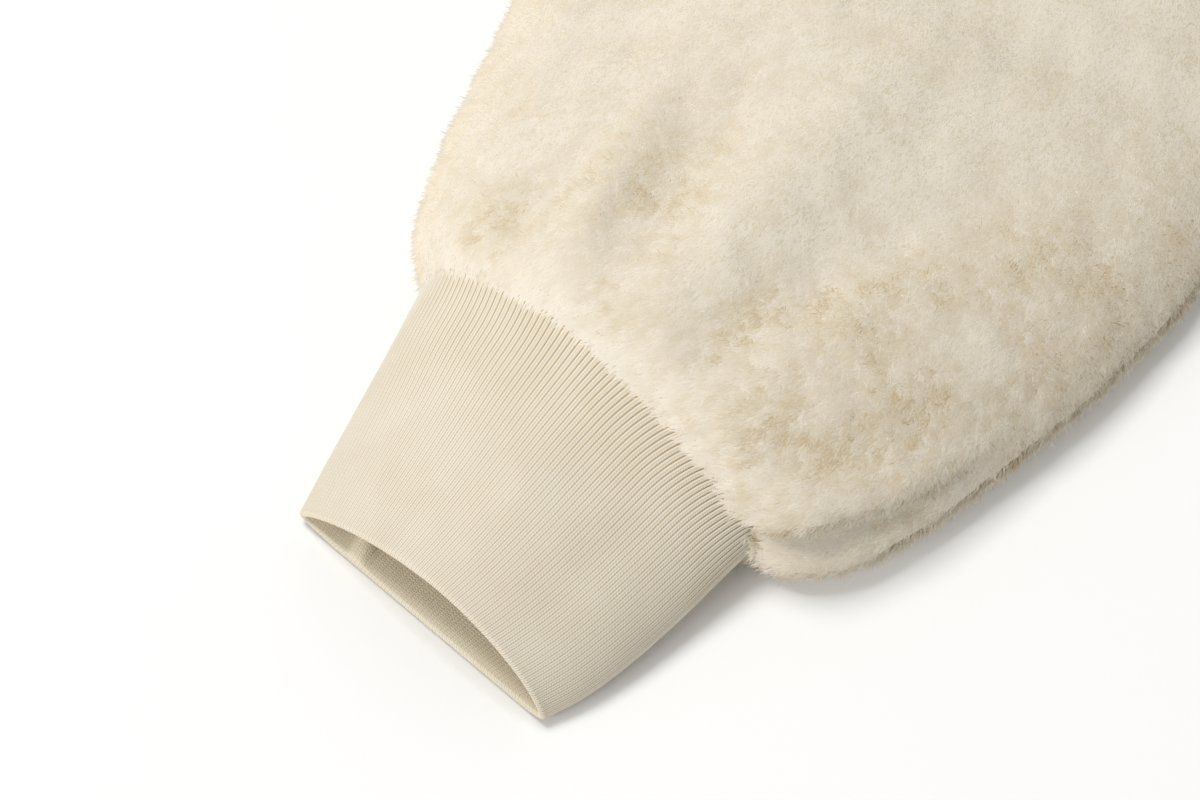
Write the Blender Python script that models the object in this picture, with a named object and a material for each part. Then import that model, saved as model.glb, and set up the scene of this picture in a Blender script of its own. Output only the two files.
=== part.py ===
"""A plush pullover laid flat on the floor, front up, with a rib-knit neckband, cuffs and hem band.

The plush is a long-pile shearling knit, so its walls are as thick as the pile is deep.
The frame's origin is on the floor under the middle of the garment, +Y points to the neck,
and the wearer's right sleeve lies on the -X side.
"""

import math
from collections import namedtuple

import bmesh
import bpy
from mathutils import Vector

# Sizes below are in millimetres, and every point is turned to metres where it is placed.
MM = 0.001

# Cloth
SEAM_GAP = 0.5
NECK_GAP = 0.7
PANEL_THICK = 7.8
PLUSH_WALL = 8.0
CUFF_WALL = 2.4
BAND_WALL = 3.4
RIB_RELIEF = 0.25
CUFF_RIBS = 72
BAND_RIB_PITCH = 1.8
RIB_SAMPLES = 600
SMALL_TURN = 0.0005

# Body panels, in plan
SHOULDER_X = 290.0
SHOULDER_Y = 242.5
NECK_POINT_X = 95.0
NECK_POINT_Y = 317.5
FRONT_NECK_DROP = 95.0
BACK_NECK_DROP = 20.0
UNDERARM_X = 305.0
UNDERARM_Y = -27.5
HEM_SEAM_X = 272.0
HEM_SEAM_Y = -272.5
HEM_FOLD_X = 262.0
HEM_FOLD_Y = -337.5

# Hem band, in height, with an arch that is flat but for its edges
HEM_FOLD_HIGH = 8.8
HEM_SEAM_HIGH = 10.4
HEM_EDGE_Z = 4.4
HEM_ARCH = 0.12
HEM_UNDER_POINTS = 12

# Body panels, in height
FRONT_LOW = PANEL_THICK + 0.4
FRONT_HIGH = 17.8
FRONT_EDGE_HIGH = 11.6
EDGE_ROUND = 11.0

# Neckband
NECK_FOLD_X = 80.0
NECK_FOLD_Y = 337.5
NECK_FOLD_FRONT_DROP = 92.0
NECK_FOLD_BACK_DROP = 16.0
NECK_LAYER = 4.2
NECK_FRONT_LOW = FRONT_LOW
NECK_BACK_POINTS = 16
NECK_PLAIN_POINTS = 40

# Seam between sleeve and cuff
LIP_OVERHANG = 0.05
LIP_PILE = 4.2
LIP_SIDE = 1.7
LIP_CLEARANCE = 0.95

# How a tube's underside turns up from its flat part to its edges
UNDER_TURN = 1.6
UNDER_POWER = 0.8

Section = namedtuple("Section", "outer inner crown bottom outer_z inner_z lean arch")
Fold = namedtuple("Fold", "start middle end half_width height")

# The right sleeve from the cuff seam to the armhole: a row for each section, with its outer and
# inner edge in plan, the height of its crown, and the heights at which its two edges turn.
SLEEVE_SECTIONS = [
    # outer_x, outer_y, inner_x, inner_y, crown, outer_z, inner_z
    (-578.5, -171.0, -487.0, -260.5, 52.5, 18.0, 14.0),
    (-580.5, -162.0, -476.5, -265.0, 56.5, 20.0, 12.5),
    (-578.5, -150.0, -463.0, -262.8, 59.0, 21.0, 11.5),
    (-573.0, -128.0, -443.0, -252.5, 60.5, 22.0, 11.0),
    (-562.5, -96.0, -416.0, -230.0, 61.0, 22.0, 11.0),
    (-548.0, -50.0, -386.0, -201.0, 59.0, 20.0, 11.0),
    (-520.0, 18.0, -352.0, -158.0, 53.0, 18.0, 11.0),
    (-466.0, 98.0, -326.0, -108.0, 44.0, 15.0, 11.0),
    (-383.0, 182.0, -311.5, -64.0, 31.0, 12.0, 10.5),
    (-290.6, 242.2, -305.6, -27.9, 19.0, 10.0, 10.0),
]
SLEEVE_RINGS = [0, 0.5, 1, 1.5, 2, 2.5, 3, 3.5, 4, 4.5, 5, 5.5, 6, 7, 8, 9]
HOLLOW_RINGS = [0.3, 1, 2, 3, 4, 5, 6, 7, 8, 9]
SLEEVE_LEAN = 0.93
SLEEVE_ARCH = 1.05
SLEEVE_TOP_POINTS = 36
SLEEVE_UNDER_POINTS = 12
HOLLOW_TOP_POINTS = 14
HOLLOW_UNDER_POINTS = 8

# The right cuff from its folded mouth to the seam, in the same columns and its underside's height.
CUFF_SECTIONS = [
    # outer_x, outer_y, inner_x, inner_y, crown, outer_z, inner_z, bottom
    (-608.8, -241.5, -542.9, -305.0, 24.0, 3.0, 3.0, 0.0),
    (-602.0, -225.5, -532.0, -299.0, 27.0, 5.0, 4.6, 0.0),
    (-594.5, -209.0, -519.5, -289.0, 31.5, 7.5, 6.8, 0.0),
    (-586.8, -192.8, -507.0, -277.0, 36.5, 10.0, 9.0, 0.4),
    (-581.0, -180.0, -497.0, -266.8, 42.0, 12.5, 11.5, 1.8),
    (-577.2, -172.0, -489.2, -259.3, 46.5, 14.0, 13.5, 3.4),
]
CUFF_LEAN_MOUTH = 1.3
CUFF_LEAN_SEAM = 0.93
CUFF_LEAN_RATE = 1.6
CUFF_ARCH = 1.25
CUFF_UNDER_POINTS = 16
CUFF_HOLLOW_POINTS = 18

# Soft folds that fan out from the gathered seam and from the underarm, on the right sleeve.
SLEEVE_FOLDS = [
    # start, middle, end, half width, height
    Fold((-561, -194), (-545, -179), (-527, -153), 7.0, -3.6),
    Fold((-539, -207), (-532, -178), (-514, -142), 8.0, 3.4),
    Fold((-522, -207), (-507, -180), (-489, -134), 8.0, -4.6),
    Fold((-526, -219), (-490, -190), (-416, -110), 11.0, 4.2),
    Fold((-506, -238), (-485, -204), (-392, -150), 9.0, -5.4),
    Fold((-502, -246), (-484, -226), (-440, -196), 9.0, 2.6),
    Fold((-488, -252), (-466, -251), (-420, -224), 5.5, -7.0),
    Fold((-522, -130), (-526, -92), (-500, -40), 17.0, -4.0),
    Fold((-470, -120), (-452, -70), (-452, 0), 15.0, 3.6),
    Fold((-314, -60), (-372, -18), (-420, 62), 15.0, -4.0),
    Fold((-318, -78), (-392, -76), (-452, -22), 15.0, 3.6),
    Fold((-312, -40), (-338, 34), (-382, 104), 14.0, 3.2),
    Fold((-330, -118), (-382, -130), (-430, -98), 13.0, -3.4),
    Fold((-500, 20), (-456, 40), (-420, 96), 16.0, 2.8),
]

# Low wrinkles on the front panel, on the wearer's right half, repeated on the other half.
FRONT_FOLDS = [
    # start, middle, end, half width, height
    Fold((-292, -24), (-214, 12), (-120, 20), 15.0, 3.4),
    Fold((-284, 40), (-214, 64), (-150, 52), 15.0, 2.6),
    Fold((-286, -80), (-222, -60), (-160, -96), 17.0, 2.8),
    Fold((-200, -262), (-190, -206), (-204, -150), 15.0, 3.2),
    Fold((-108, -262), (-98, -214), (-84, -166), 15.0, 2.8),
    Fold((-36, -262), (-30, -196), (-44, -120), 15.0, 2.6),
    Fold((-240, 214), (-196, 196), (-150, 210), 15.0, 2.2),
    Fold((-60, 196), (-30, 170), (-10, 120), 17.0, 2.2),
]
FRONT_ROWS = [0, 0.006, 0.016, 0.05, 0.1, 0.16, 0.23, 0.31, 0.4, 0.49, 0.57, 0.66, 0.75, 0.83,
              0.9, 0.95, 0.982, 0.993, 1]
NECK_COLUMNS = 12
SHOULDER_COLUMNS = [0.12, 0.3, 0.48, 0.66, 0.82, 0.93, 0.975, 1]
# How folds are measured and how they fade: in steps along a fold, near its two ends, in the
# strength of that fading, and down the sleeve's two edges
FOLD_STEPS = 24
FOLD_END = 0.06
FOLD_END_FADE = 0.6
FOLD_EDGE_FADE = 0.7

PLUSH_COLOUR = (0.756, 0.674, 0.552, 1.0)
RIB_COLOUR = (0.815, 0.753, 0.631, 1.0)


def clear_scene():
    """Removes what the file opened with."""
    for old in list(bpy.data.objects):
        bpy.data.objects.remove(old, do_unlink=True)


def material(name, colour, roughness):
    """A plain cloth material."""
    made = bpy.data.materials.new(name)
    made.use_nodes = True
    shader = made.node_tree.nodes["Principled BSDF"]
    shader.inputs["Base Color"].default_value = colour
    shader.inputs["Roughness"].default_value = roughness
    shader.inputs["Metallic"].default_value = 0.0
    return made


def add_object(name, bm, surface, collection):
    """Turns a bmesh in millimetres into a named object in metres, with its faces pointing out."""
    bmesh.ops.recalc_face_normals(bm, faces=bm.faces)
    bmesh.ops.scale(bm, vec=(MM, MM, MM), verts=bm.verts)
    mesh = bpy.data.meshes.new(name)
    bm.to_mesh(mesh)
    bm.free()
    mesh.materials.append(surface)
    made = bpy.data.objects.new(name, mesh)
    collection.objects.link(made)
    return made


def mix(first, second, part):
    """A value between two others."""
    return first + (second - first) * part


def smooth_row(rows, place):
    """Reads a table at a fractional row, on a smooth curve through its rows."""
    base = min(int(place), len(rows) - 2)
    part = place - base
    before = rows[max(base - 1, 0)]
    after = rows[min(base + 2, len(rows) - 1)]
    values = []
    for a, b, c, d in zip(before, rows[base], rows[base + 1], after):
        slope_b = (c - a) / 2
        slope_c = (d - b) / 2
        bend = 3 * (c - b) - 2 * slope_b - slope_c
        twist = 2 * (b - c) + slope_b + slope_c
        values.append(b + slope_b * part + bend * part ** 2 + twist * part ** 3)
    return values


def fold_height(folds, x, y):
    """Height that the soft folds add at a place in plan."""
    place = Vector((x, y))
    total = 0.0
    for fold in folds:
        start, middle, end = Vector(fold.start), Vector(fold.middle), Vector(fold.end)
        nearest = None
        for step in range(FOLD_STEPS + 1):
            part = step / FOLD_STEPS
            point = start.lerp(middle, part).lerp(middle.lerp(end, part), part)
            apart = (point - place).length
            if nearest is None or apart < nearest[0]:
                nearest = (apart, part)
        along = min(max(nearest[1], FOLD_END), 1 - FOLD_END)
        taper = math.sin(math.pi * along) ** FOLD_END_FADE
        total += fold.height * taper * math.exp(-(nearest[0] / fold.half_width) ** 2)
    return total


def grow(section, sideways, upwards):
    """A section whose wall lies a little further out, or in where the amounts are negative."""
    across = (section.inner - section.outer).normalized() * sideways
    return section._replace(
        outer=section.outer - across,
        inner=section.inner + across,
        crown=section.crown + upwards,
        bottom=max(section.bottom - upwards, 0.0),
    )


def section_point(section, turn):
    """Point of a flattened tube: over its top at a turn of 0 to 0.5, and back under it to 1."""
    angle = 2 * math.pi * turn
    side = abs(math.sin(angle))
    across = (0.5 * (1 - math.cos(angle))) ** (1 / section.lean)
    edge_z = mix(section.outer_z, section.inner_z, across)
    if turn <= 0.5:
        height = edge_z + (section.crown - edge_z) * side ** section.arch
    else:
        height = edge_z - (edge_z - section.bottom) * min(1.0, UNDER_TURN * side ** UNDER_POWER)
    plan = section.outer.lerp(section.inner, across)
    return Vector((plan.x, plan.y, height))


def even_turns(section, count):
    """Turns over a section's top at equal distances along it."""
    points = [section_point(section, 0.5 * step / RIB_SAMPLES) for step in range(RIB_SAMPLES + 1)]
    lengths = [0.0]
    for before, after in zip(points, points[1:]):
        lengths.append(lengths[-1] + (after - before).length)
    turns = []
    step = 0
    for number in range(count):
        wanted = lengths[-1] * number / count
        while lengths[step + 1] < wanted:
            step += 1
        part = (wanted - lengths[step]) / (lengths[step + 1] - lengths[step])
        turns.append(0.5 * (step + part) / RIB_SAMPLES)
    return turns


def plain_ring(section, top_points, under_points):
    """Turns and points round a plain section, closer together at its edges."""
    turns = [0.5 * step / top_points for step in range(top_points)]
    turns += [0.5 + 0.5 * step / under_points for step in range(under_points)]
    return [(turn, section_point(section, turn)) for turn in turns]


def ribbed_ring(section, ribs, under_points):
    """Turns and points round a section whose top has a raised rib for every two points."""
    ring = []
    for number, turn in enumerate(even_turns(section, 2 * ribs)):
        point = section_point(section, turn)
        if number > 0:
            before = section_point(section, turn - SMALL_TURN)
            along = section_point(section, turn + SMALL_TURN) - before
            across = (section.inner - section.outer).normalized()
            flat = along.x * across.x + along.y * across.y
            out = Vector((-along.z * across.x, -along.z * across.y, flat)).normalized()
            point += out * (RIB_RELIEF if number % 2 else -RIB_RELIEF)
        ring.append((turn, point))
    turns = [0.5 + 0.5 * step / under_points for step in range(under_points)]
    return ring + [(turn, section_point(section, turn)) for turn in turns]


def add_ring(bm, ring, side):
    """Adds a ring's points, on the wearer's right for a side of 1 and mirrored for -1."""
    return [(turn, bm.verts.new((point.x * side, point.y, point.z))) for turn, point in ring]


def bridge(bm, first, second):
    """Faces between two closed rings, whose counts of points may differ."""
    i = 0
    j = 0
    while i < len(first) or j < len(second):
        vert_a = first[i % len(first)][1]
        vert_b = second[j % len(second)][1]
        next_a = first[(i + 1) % len(first)]
        next_b = second[(j + 1) % len(second)]
        turn_a = next_a[0] + (1 if i + 1 >= len(first) else 0)
        turn_b = next_b[0] + (1 if j + 1 >= len(second) else 0)
        if j == len(second) or (i < len(first) and turn_a <= turn_b):
            bm.faces.new((vert_a, next_a[1], vert_b))
            i += 1
        else:
            bm.faces.new((vert_a, next_b[1], vert_b))
            j += 1


def loop_of_rings(rings, side):
    """A closed wall through rings that run out, round its end, back inside, and round again."""
    bm = bmesh.new()
    added = [add_ring(bm, ring, side) for ring in rings]
    for first, second in zip(added, added[1:] + added[:1]):
        bridge(bm, first, second)
    return bm


def sleeve_section(place):
    """The plush sleeve's outer section at a row of its table."""
    outer_x, outer_y, inner_x, inner_y, crown, outer_z, inner_z = smooth_row(SLEEVE_SECTIONS, place)
    return Section(
        Vector((outer_x, outer_y)), Vector((inner_x, inner_y)),
        crown, 0.0, outer_z, inner_z, SLEEVE_LEAN, SLEEVE_ARCH,
    )


def cuff_section(along):
    """The cuff's section, from its mouth at 0 to the seam at 1."""
    row = smooth_row(CUFF_SECTIONS, along * (len(CUFF_SECTIONS) - 1))
    outer_x, outer_y, inner_x, inner_y, crown, outer_z, inner_z, bottom = row
    lean = mix(CUFF_LEAN_MOUTH, CUFF_LEAN_SEAM, min(1.0, CUFF_LEAN_RATE * along))
    return Section(
        Vector((outer_x, outer_y)), Vector((inner_x, inner_y)),
        crown, max(bottom, 0.0), outer_z, inner_z, lean, CUFF_ARCH,
    )


def folded(ring):
    """A sleeve ring with the soft folds on its top."""
    made = []
    for turn, point in ring:
        if turn < 0.5:
            share = math.sin(2 * math.pi * turn) ** FOLD_EDGE_FADE
            point.z += share * fold_height(SLEEVE_FOLDS, point.x, point.y)
        made.append((turn, point))
    return made


def make_sleeve(name, side, surface, collection):
    """A full plush sleeve, gathered into the cuff, whose pile laps over the cuff's end."""
    rings = []
    for place in reversed(SLEEVE_RINGS):
        ring = plain_ring(sleeve_section(place), SLEEVE_TOP_POINTS, SLEEVE_UNDER_POINTS)
        rings.append(folded(ring))
    lip = cuff_section(1 - LIP_OVERHANG)
    seam = cuff_section(1)
    along = (seam.outer + seam.inner) - (lip.outer + lip.inner)
    beyond = along.normalized() * SEAM_GAP
    seam = seam._replace(outer=seam.outer + beyond, inner=seam.inner + beyond)
    clear = LIP_CLEARANCE
    for section in (grow(lip, LIP_SIDE, LIP_PILE), grow(lip, clear, clear), grow(seam, clear, clear)):
        rings.append(plain_ring(section, SLEEVE_TOP_POINTS, SLEEVE_UNDER_POINTS))
    mouth = grow(seam, -CUFF_WALL, -CUFF_WALL)
    rings.append(plain_ring(mouth, HOLLOW_TOP_POINTS, HOLLOW_UNDER_POINTS))
    for place in HOLLOW_RINGS:
        hollow = grow(sleeve_section(place), -PLUSH_WALL, -PLUSH_WALL)
        ring = plain_ring(hollow, HOLLOW_TOP_POINTS, HOLLOW_UNDER_POINTS)
        rings.append(folded(ring))
    return add_object(name, loop_of_rings(rings, side), surface, collection)


def make_cuff(name, side, surface, collection):
    """A rib-knit cuff: fine ribs over its top, a plain inside, and an underside on the floor."""
    steps = len(CUFF_SECTIONS) - 1
    sections = [cuff_section(step / steps) for step in range(steps + 1)]
    rings = [ribbed_ring(section, CUFF_RIBS, CUFF_UNDER_POINTS) for section in sections]
    for section in reversed(sections):
        hollow = grow(section, -CUFF_WALL, -CUFF_WALL)
        rings.append(plain_ring(hollow, CUFF_HOLLOW_POINTS, CUFF_HOLLOW_POINTS))
    return add_object(name, loop_of_rings(rings, side), surface, collection)


def make_hem_band(name, surface, collection):
    """The rib-knit hem band, a flat tube whose two layers lie just apart."""
    rings = []
    hollows = []
    ribs = int(2 * HEM_SEAM_X / BAND_RIB_PITCH)
    seam_y = HEM_SEAM_Y - SEAM_GAP
    sizes = ((HEM_FOLD_X, HEM_FOLD_Y, HEM_FOLD_HIGH), (HEM_SEAM_X, seam_y, HEM_SEAM_HIGH))
    for half_width, y, crown in sizes:
        section = Section(
            Vector((-half_width, y)), Vector((half_width, y)),
            crown, 0.0, HEM_EDGE_Z, HEM_EDGE_Z, 1.0, HEM_ARCH,
        )
        rings.append(ribbed_ring(section, ribs, HEM_UNDER_POINTS))
        hollow = grow(section, -BAND_WALL, -BAND_WALL)
        hollows.insert(0, plain_ring(hollow, HEM_UNDER_POINTS, HEM_UNDER_POINTS))
    return add_object(name, loop_of_rings(rings + hollows, 1), surface, collection)


def neck_ring(half_width, side_y, front_drop, back_drop, high, low, front_points, back_points):
    """Turns and points of a neckband ring: the front's scoop on top, the back's curve below it."""
    ring = []
    for step in range(front_points + 1):
        angle = math.pi * step / front_points
        point = Vector((-half_width * math.cos(angle), side_y - front_drop * math.sin(angle), high))
        ring.append((0.5 * step / front_points, point))
    for step in range(back_points + 1):
        angle = math.pi * step / back_points
        point = Vector((half_width * math.cos(angle), side_y - back_drop * math.sin(angle), low))
        ring.append((0.5 + 0.5 * (step + 0.5) / (back_points + 1), point))
    return ring


def make_neckband(name, surface, collection):
    """The rib-knit neckband: its front half lies on the back panel, its back half on the floor."""
    ribs = int(math.pi * FRONT_NECK_DROP / BAND_RIB_PITCH)
    front_points = 2 * ribs
    high = NECK_FRONT_LOW + NECK_LAYER
    sizes = (
        (NECK_POINT_X, NECK_POINT_Y, FRONT_NECK_DROP, BACK_NECK_DROP),
        (NECK_FOLD_X, NECK_FOLD_Y, NECK_FOLD_FRONT_DROP, NECK_FOLD_BACK_DROP),
    )
    rings = []
    hollows = []
    for half_width, side_y, front_drop, back_drop in sizes:
        ring = neck_ring(
            half_width, side_y, front_drop, back_drop,
            high, 0.0, front_points, NECK_BACK_POINTS,
        )
        for number in range(1, front_points):
            ring[number][1].z += RIB_RELIEF if number % 2 else -RIB_RELIEF
        rings.append(ring)
        hollows.insert(0, neck_ring(
            half_width - NECK_LAYER, side_y, front_drop, back_drop,
            NECK_FRONT_LOW, NECK_LAYER, NECK_PLAIN_POINTS, NECK_BACK_POINTS,
        ))
    return add_object(name, loop_of_rings(rings + hollows, 1), surface, collection)


def side_x(y):
    """Half width of the body at a height along it: a straight armhole, then a side seam."""
    if y > UNDERARM_Y:
        return mix(UNDERARM_X, SHOULDER_X, (y - UNDERARM_Y) / (SHOULDER_Y - UNDERARM_Y))
    return mix(UNDERARM_X, HEM_SEAM_X, (UNDERARM_Y - y) / (UNDERARM_Y - HEM_SEAM_Y))


def top_y(x, neck_drop):
    """Top edge of a body panel: the neck's curve, then the shoulder's slope."""
    neck_x = NECK_POINT_X + NECK_GAP
    if abs(x) < neck_x:
        return NECK_POINT_Y - (neck_drop + NECK_GAP) * math.sqrt(1 - (x / neck_x) ** 2)
    return mix(NECK_POINT_Y, SHOULDER_Y, (abs(x) - neck_x) / (SHOULDER_X - neck_x))


def panel_columns():
    """Where a panel's columns meet its top edge, from one shoulder to the other."""
    neck_x = NECK_POINT_X + NECK_GAP
    right = [neck_x * math.sin(0.5 * math.pi * step / NECK_COLUMNS) for step in range(1, NECK_COLUMNS)]
    right.append(neck_x)
    right += [mix(neck_x, SHOULDER_X, part) for part in SHOULDER_COLUMNS]
    return [-x for x in reversed(right)] + [0.0] + right


def make_panel(name, neck_drop, rows, low, height, surface, collection):
    """A body panel: a grid moved to the cut's outline, with a flat underside."""
    columns = panel_columns()
    bm = bmesh.new()
    bmesh.ops.create_grid(bm, x_segments=len(columns) - 1, y_segments=len(rows) - 1, size=1)
    for vert in bm.verts:
        column = columns[round((vert.co.x + 1) / 2 * (len(columns) - 1))]
        row = rows[round((vert.co.y + 1) / 2 * (len(rows) - 1))]
        x = column / SHOULDER_X * side_x(mix(HEM_SEAM_Y, SHOULDER_Y, row))
        y = mix(HEM_SEAM_Y, top_y(column, neck_drop), row)
        span = top_y(column, neck_drop) - HEM_SEAM_Y
        inside = min(SHOULDER_X - abs(column), row * span, (1 - row) * span)
        vert.co = (x, y, height(x, y, max(inside, 0.0)))
    made = bmesh.ops.extrude_face_region(bm, geom=bm.faces[:], use_keep_orig=True)
    under = [item for item in made["geom"] if isinstance(item, bmesh.types.BMVert)]
    for vert in under:
        vert.co.z = low
    floor_faces = [item for item in made["geom"] if isinstance(item, bmesh.types.BMFace)]
    bmesh.ops.dissolve_faces(bm, faces=floor_faces, use_verts=False)
    return add_object(name, bm, surface, collection)


def front_height(x, y, inside):
    """Height of the front panel's pile, which rounds down to its seams."""
    part = min(inside / EDGE_ROUND, 1.0)
    rounded = math.sqrt(1 - (1 - part) ** 2)
    high = FRONT_HIGH + fold_height(FRONT_FOLDS, -abs(x), y)
    return mix(FRONT_EDGE_HIGH, high, rounded)


def back_height(x, y, inside):
    """Height of the back panel's plain inner face."""
    return PANEL_THICK


def build():
    """Makes every piece of the pullover."""
    clear_scene()
    pullover = bpy.data.collections.new("plush_pullover")
    bpy.context.scene.collection.children.link(pullover)
    plush = material("cream_plush", PLUSH_COLOUR, 0.95)
    rib = material("cream_rib_knit", RIB_COLOUR, 0.9)
    make_panel("front", FRONT_NECK_DROP, FRONT_ROWS, FRONT_LOW, front_height, plush, pullover)
    back_rows = [0, (UNDERARM_Y - HEM_SEAM_Y) / (SHOULDER_Y - HEM_SEAM_Y), 1]
    make_panel("back", BACK_NECK_DROP, back_rows, 0.0, back_height, plush, pullover)
    for word, side in (("right", 1), ("left", -1)):
        make_sleeve("sleeve_" + word, side, plush, pullover)
        make_cuff("cuff_" + word, side, rib, pullover)
    make_neckband("neckband", rib, pullover)
    make_hem_band("hem_band", rib, pullover)


build()
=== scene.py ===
# %% [markdown]
# # A plush pullover, laid flat
# This lesson dresses the solids of a pullover that lies front up on a white floor. The plush is a knitted
# backing with a deep pile, like shearling, and the cuffs, neckband and hem band are a fine one by one rib.
# The solids come in from model.glb in their places, and each piece of cloth made here stands for one of
# them. All sizes are worked out in millimetres and become metres at the very end.

import bmesh
import bpy
import numpy as np
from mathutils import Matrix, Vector


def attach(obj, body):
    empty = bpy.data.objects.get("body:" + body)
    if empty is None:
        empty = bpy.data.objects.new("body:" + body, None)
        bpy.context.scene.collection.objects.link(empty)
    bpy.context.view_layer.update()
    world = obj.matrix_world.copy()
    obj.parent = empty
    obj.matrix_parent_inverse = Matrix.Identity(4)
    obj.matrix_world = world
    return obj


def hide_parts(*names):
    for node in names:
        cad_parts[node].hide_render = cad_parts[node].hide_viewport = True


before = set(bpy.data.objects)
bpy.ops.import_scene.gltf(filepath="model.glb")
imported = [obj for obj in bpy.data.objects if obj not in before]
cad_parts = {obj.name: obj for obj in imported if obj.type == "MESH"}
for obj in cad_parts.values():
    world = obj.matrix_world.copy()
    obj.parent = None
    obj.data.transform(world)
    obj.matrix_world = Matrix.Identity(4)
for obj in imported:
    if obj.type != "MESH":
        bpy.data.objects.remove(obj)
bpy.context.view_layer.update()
MM = 0.001

# %% [markdown]
# ## Camera
# The picture is a close view of one sleeve end from a steep angle. A long lens keeps the cuff's
# two edges nearly parallel, as a product photographer would have them. The camera looks along +Y
# and down, at a point of the floor beside the cuff.

# %% Camera at the photograph's angle
LOOK_AT = Vector((-0.529, -0.201, 0.0))
CAMERA_FAR = 0.78
CAMERA_RISE = np.radians(52.0)
LENS_MM = 85.0

lens = bpy.data.cameras.new("close_lens")
lens.lens = LENS_MM
lens.sensor_width = 36.0
lens.clip_start = 0.01
camera = bpy.data.objects.new("camera", lens)
bpy.context.scene.collection.objects.link(camera)
camera.location = LOOK_AT + CAMERA_FAR * Vector((0.0, -np.cos(CAMERA_RISE), np.sin(CAMERA_RISE)))
camera.rotation_euler = (np.pi / 2 - CAMERA_RISE, 0.0, 0.0)
bpy.context.scene.camera = camera
print("Camera at", tuple(round(value, 3) for value in camera.location))

# %% [markdown]
# ## Light
# In such a product picture one large soft lamp hangs high over the upper left, so that shade
# gathers on the sleeve's lower right and a pale shadow falls on the floor there. A weaker lamp
# stands low at the lower left and looks into the cuff's mouth, and an even white sky lifts what
# neither lamp reaches. Area lamps are used because a wide source gives a shadow soft edges. The
# Standard view is chosen because it keeps the cream tones as they are.

# %% Lamps and sky
KEY_WATTS = 90.0
FILL_WATTS = 48.0
SKY_STRENGTH = 0.47
LAMP_WHITE = (1.0, 0.99, 0.97)

scene = bpy.context.scene
scene.view_settings.view_transform = "Standard"
scene.view_settings.look = "None"


def soft_lamp(name, place, aim, size, power):
    """A square area lamp at a place, turned to what it lights."""
    lamp = bpy.data.lights.new(name, "AREA")
    lamp.shape = "SQUARE"
    lamp.size = size
    lamp.energy = power
    lamp.color = LAMP_WHITE
    holder = bpy.data.objects.new(name, lamp)
    scene.collection.objects.link(holder)
    holder.location = place
    holder.rotation_euler = (Vector(aim) - Vector(place)).to_track_quat("-Z", "Y").to_euler()
    print(name, power, "watts, at", place)


soft_lamp("key_lamp", (-1.6, 0.7, 3.7), (-0.42, -0.12, 0.0), 1.5, KEY_WATTS)
soft_lamp("fill_lamp", (-2.9, -2.2, 1.3), (-0.55, -0.26, 0.0), 1.4, FILL_WATTS)
sky = bpy.data.worlds.new("white_studio")
sky.use_nodes = True
overhead = sky.node_tree.nodes["Background"]
overhead.inputs["Color"].default_value = (1.0, 1.0, 1.0, 1.0)
overhead.inputs["Strength"].default_value = SKY_STRENGTH
scene.world = sky

# %% [markdown]
# ## Helpers for materials
# A dye chart gives a colour as an sRGB hex value, but a shader works with linear light, so one
# small function turns the first into the second. Another adds a node with its settings and its
# links in a single call, which keeps the materials below short enough to read.

# %% Colours and nodes
def hex_colour(text):
    """Turns an sRGB hex colour into linear light."""
    parts = [int(text[at:at + 2], 16) / 255 for at in (1, 3, 5)]
    return [part / 12.92 if part <= 0.04045 else ((part + 0.055) / 1.055) ** 2.4 for part in parts] + [1.0]


def add_node(tree, kind, links=(), **settings):
    """Adds a node; settings are its properties, and links pair its inputs with values or sockets."""
    node = tree.nodes.new(kind)
    for name, value in settings.items():
        setattr(node, name, value)
    for name, value in links:
        socket = node.inputs[name]
        if isinstance(value, bpy.types.NodeSocket):
            tree.links.new(value, socket)
        else:
            socket.default_value = value
    return node


def new_material(name):
    """A material with its tree of nodes and the Principled shader in it."""
    material = bpy.data.materials.new(name)
    material.use_nodes = True
    tree = material.node_tree
    return material, tree, tree.nodes["Principled BSDF"]


def set_ramp(node, stops):
    """Gives a colour ramp its stops, each a place and a hex colour."""
    ramp = node.color_ramp
    while len(ramp.elements) < len(stops):
        ramp.elements.new(1.0)
    for element, (place, colour) in zip(ramp.elements, stops):
        element.position = place
        element.color = hex_colour(colour)


print("Paper white in linear light:", [round(part, 3) for part in hex_colour("#F0F0F0")])

# %% [markdown]
# ## Floor
# The real floor is a sheet of white paper, bright enough to burn out where nothing shades it. It
# lies a hair below the garment, because two faces in one plane would fight for the same pixels.
# It is a stage and not a part of the garment.

# %% Floor
FLOOR_HALF = 6.0
FLOOR_GAP = 0.0002

floor_mesh = bpy.data.meshes.new("paper_floor")
bm = bmesh.new()
bmesh.ops.create_grid(bm, x_segments=1, y_segments=1, size=FLOOR_HALF)
bmesh.ops.translate(bm, vec=(0.0, 0.0, -FLOOR_GAP), verts=bm.verts)
bm.to_mesh(floor_mesh)
bm.free()
floor = bpy.data.objects.new("paper_floor", floor_mesh)
scene.collection.objects.link(floor)
paper, tree, shader = new_material("white_paper")
shader.inputs["Base Color"].default_value = hex_colour("#F0F0F0")
shader.inputs["Roughness"].default_value = 0.9
shader.inputs["Specular IOR Level"].default_value = 0.1
floor_mesh.materials.append(paper)
print("Paper floor,", 2 * FLOOR_HALF, "m wide")

# %% [markdown]
# ## Sections of a flattened tube
# A sleeve that lies on a floor is a tube with a flat underside and a humped top. It could be
# sculpted, but its size has to be exact, so it is worked out from tables instead. One row of a
# table gives one section: the two edges in plan, the height of the crown, the level of the
# underside and the heights at which the edges turn. Its last two numbers shape the hump: lean
# moves the points towards one edge, and a small arch gives it a flat top.
#
# A turn says where on a section a point is: 0 to 0.5 goes over the top from the outer edge to
# the inner one, and the rest comes back underneath. Rows between the table's own are read from
# a smooth curve through them.

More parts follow.
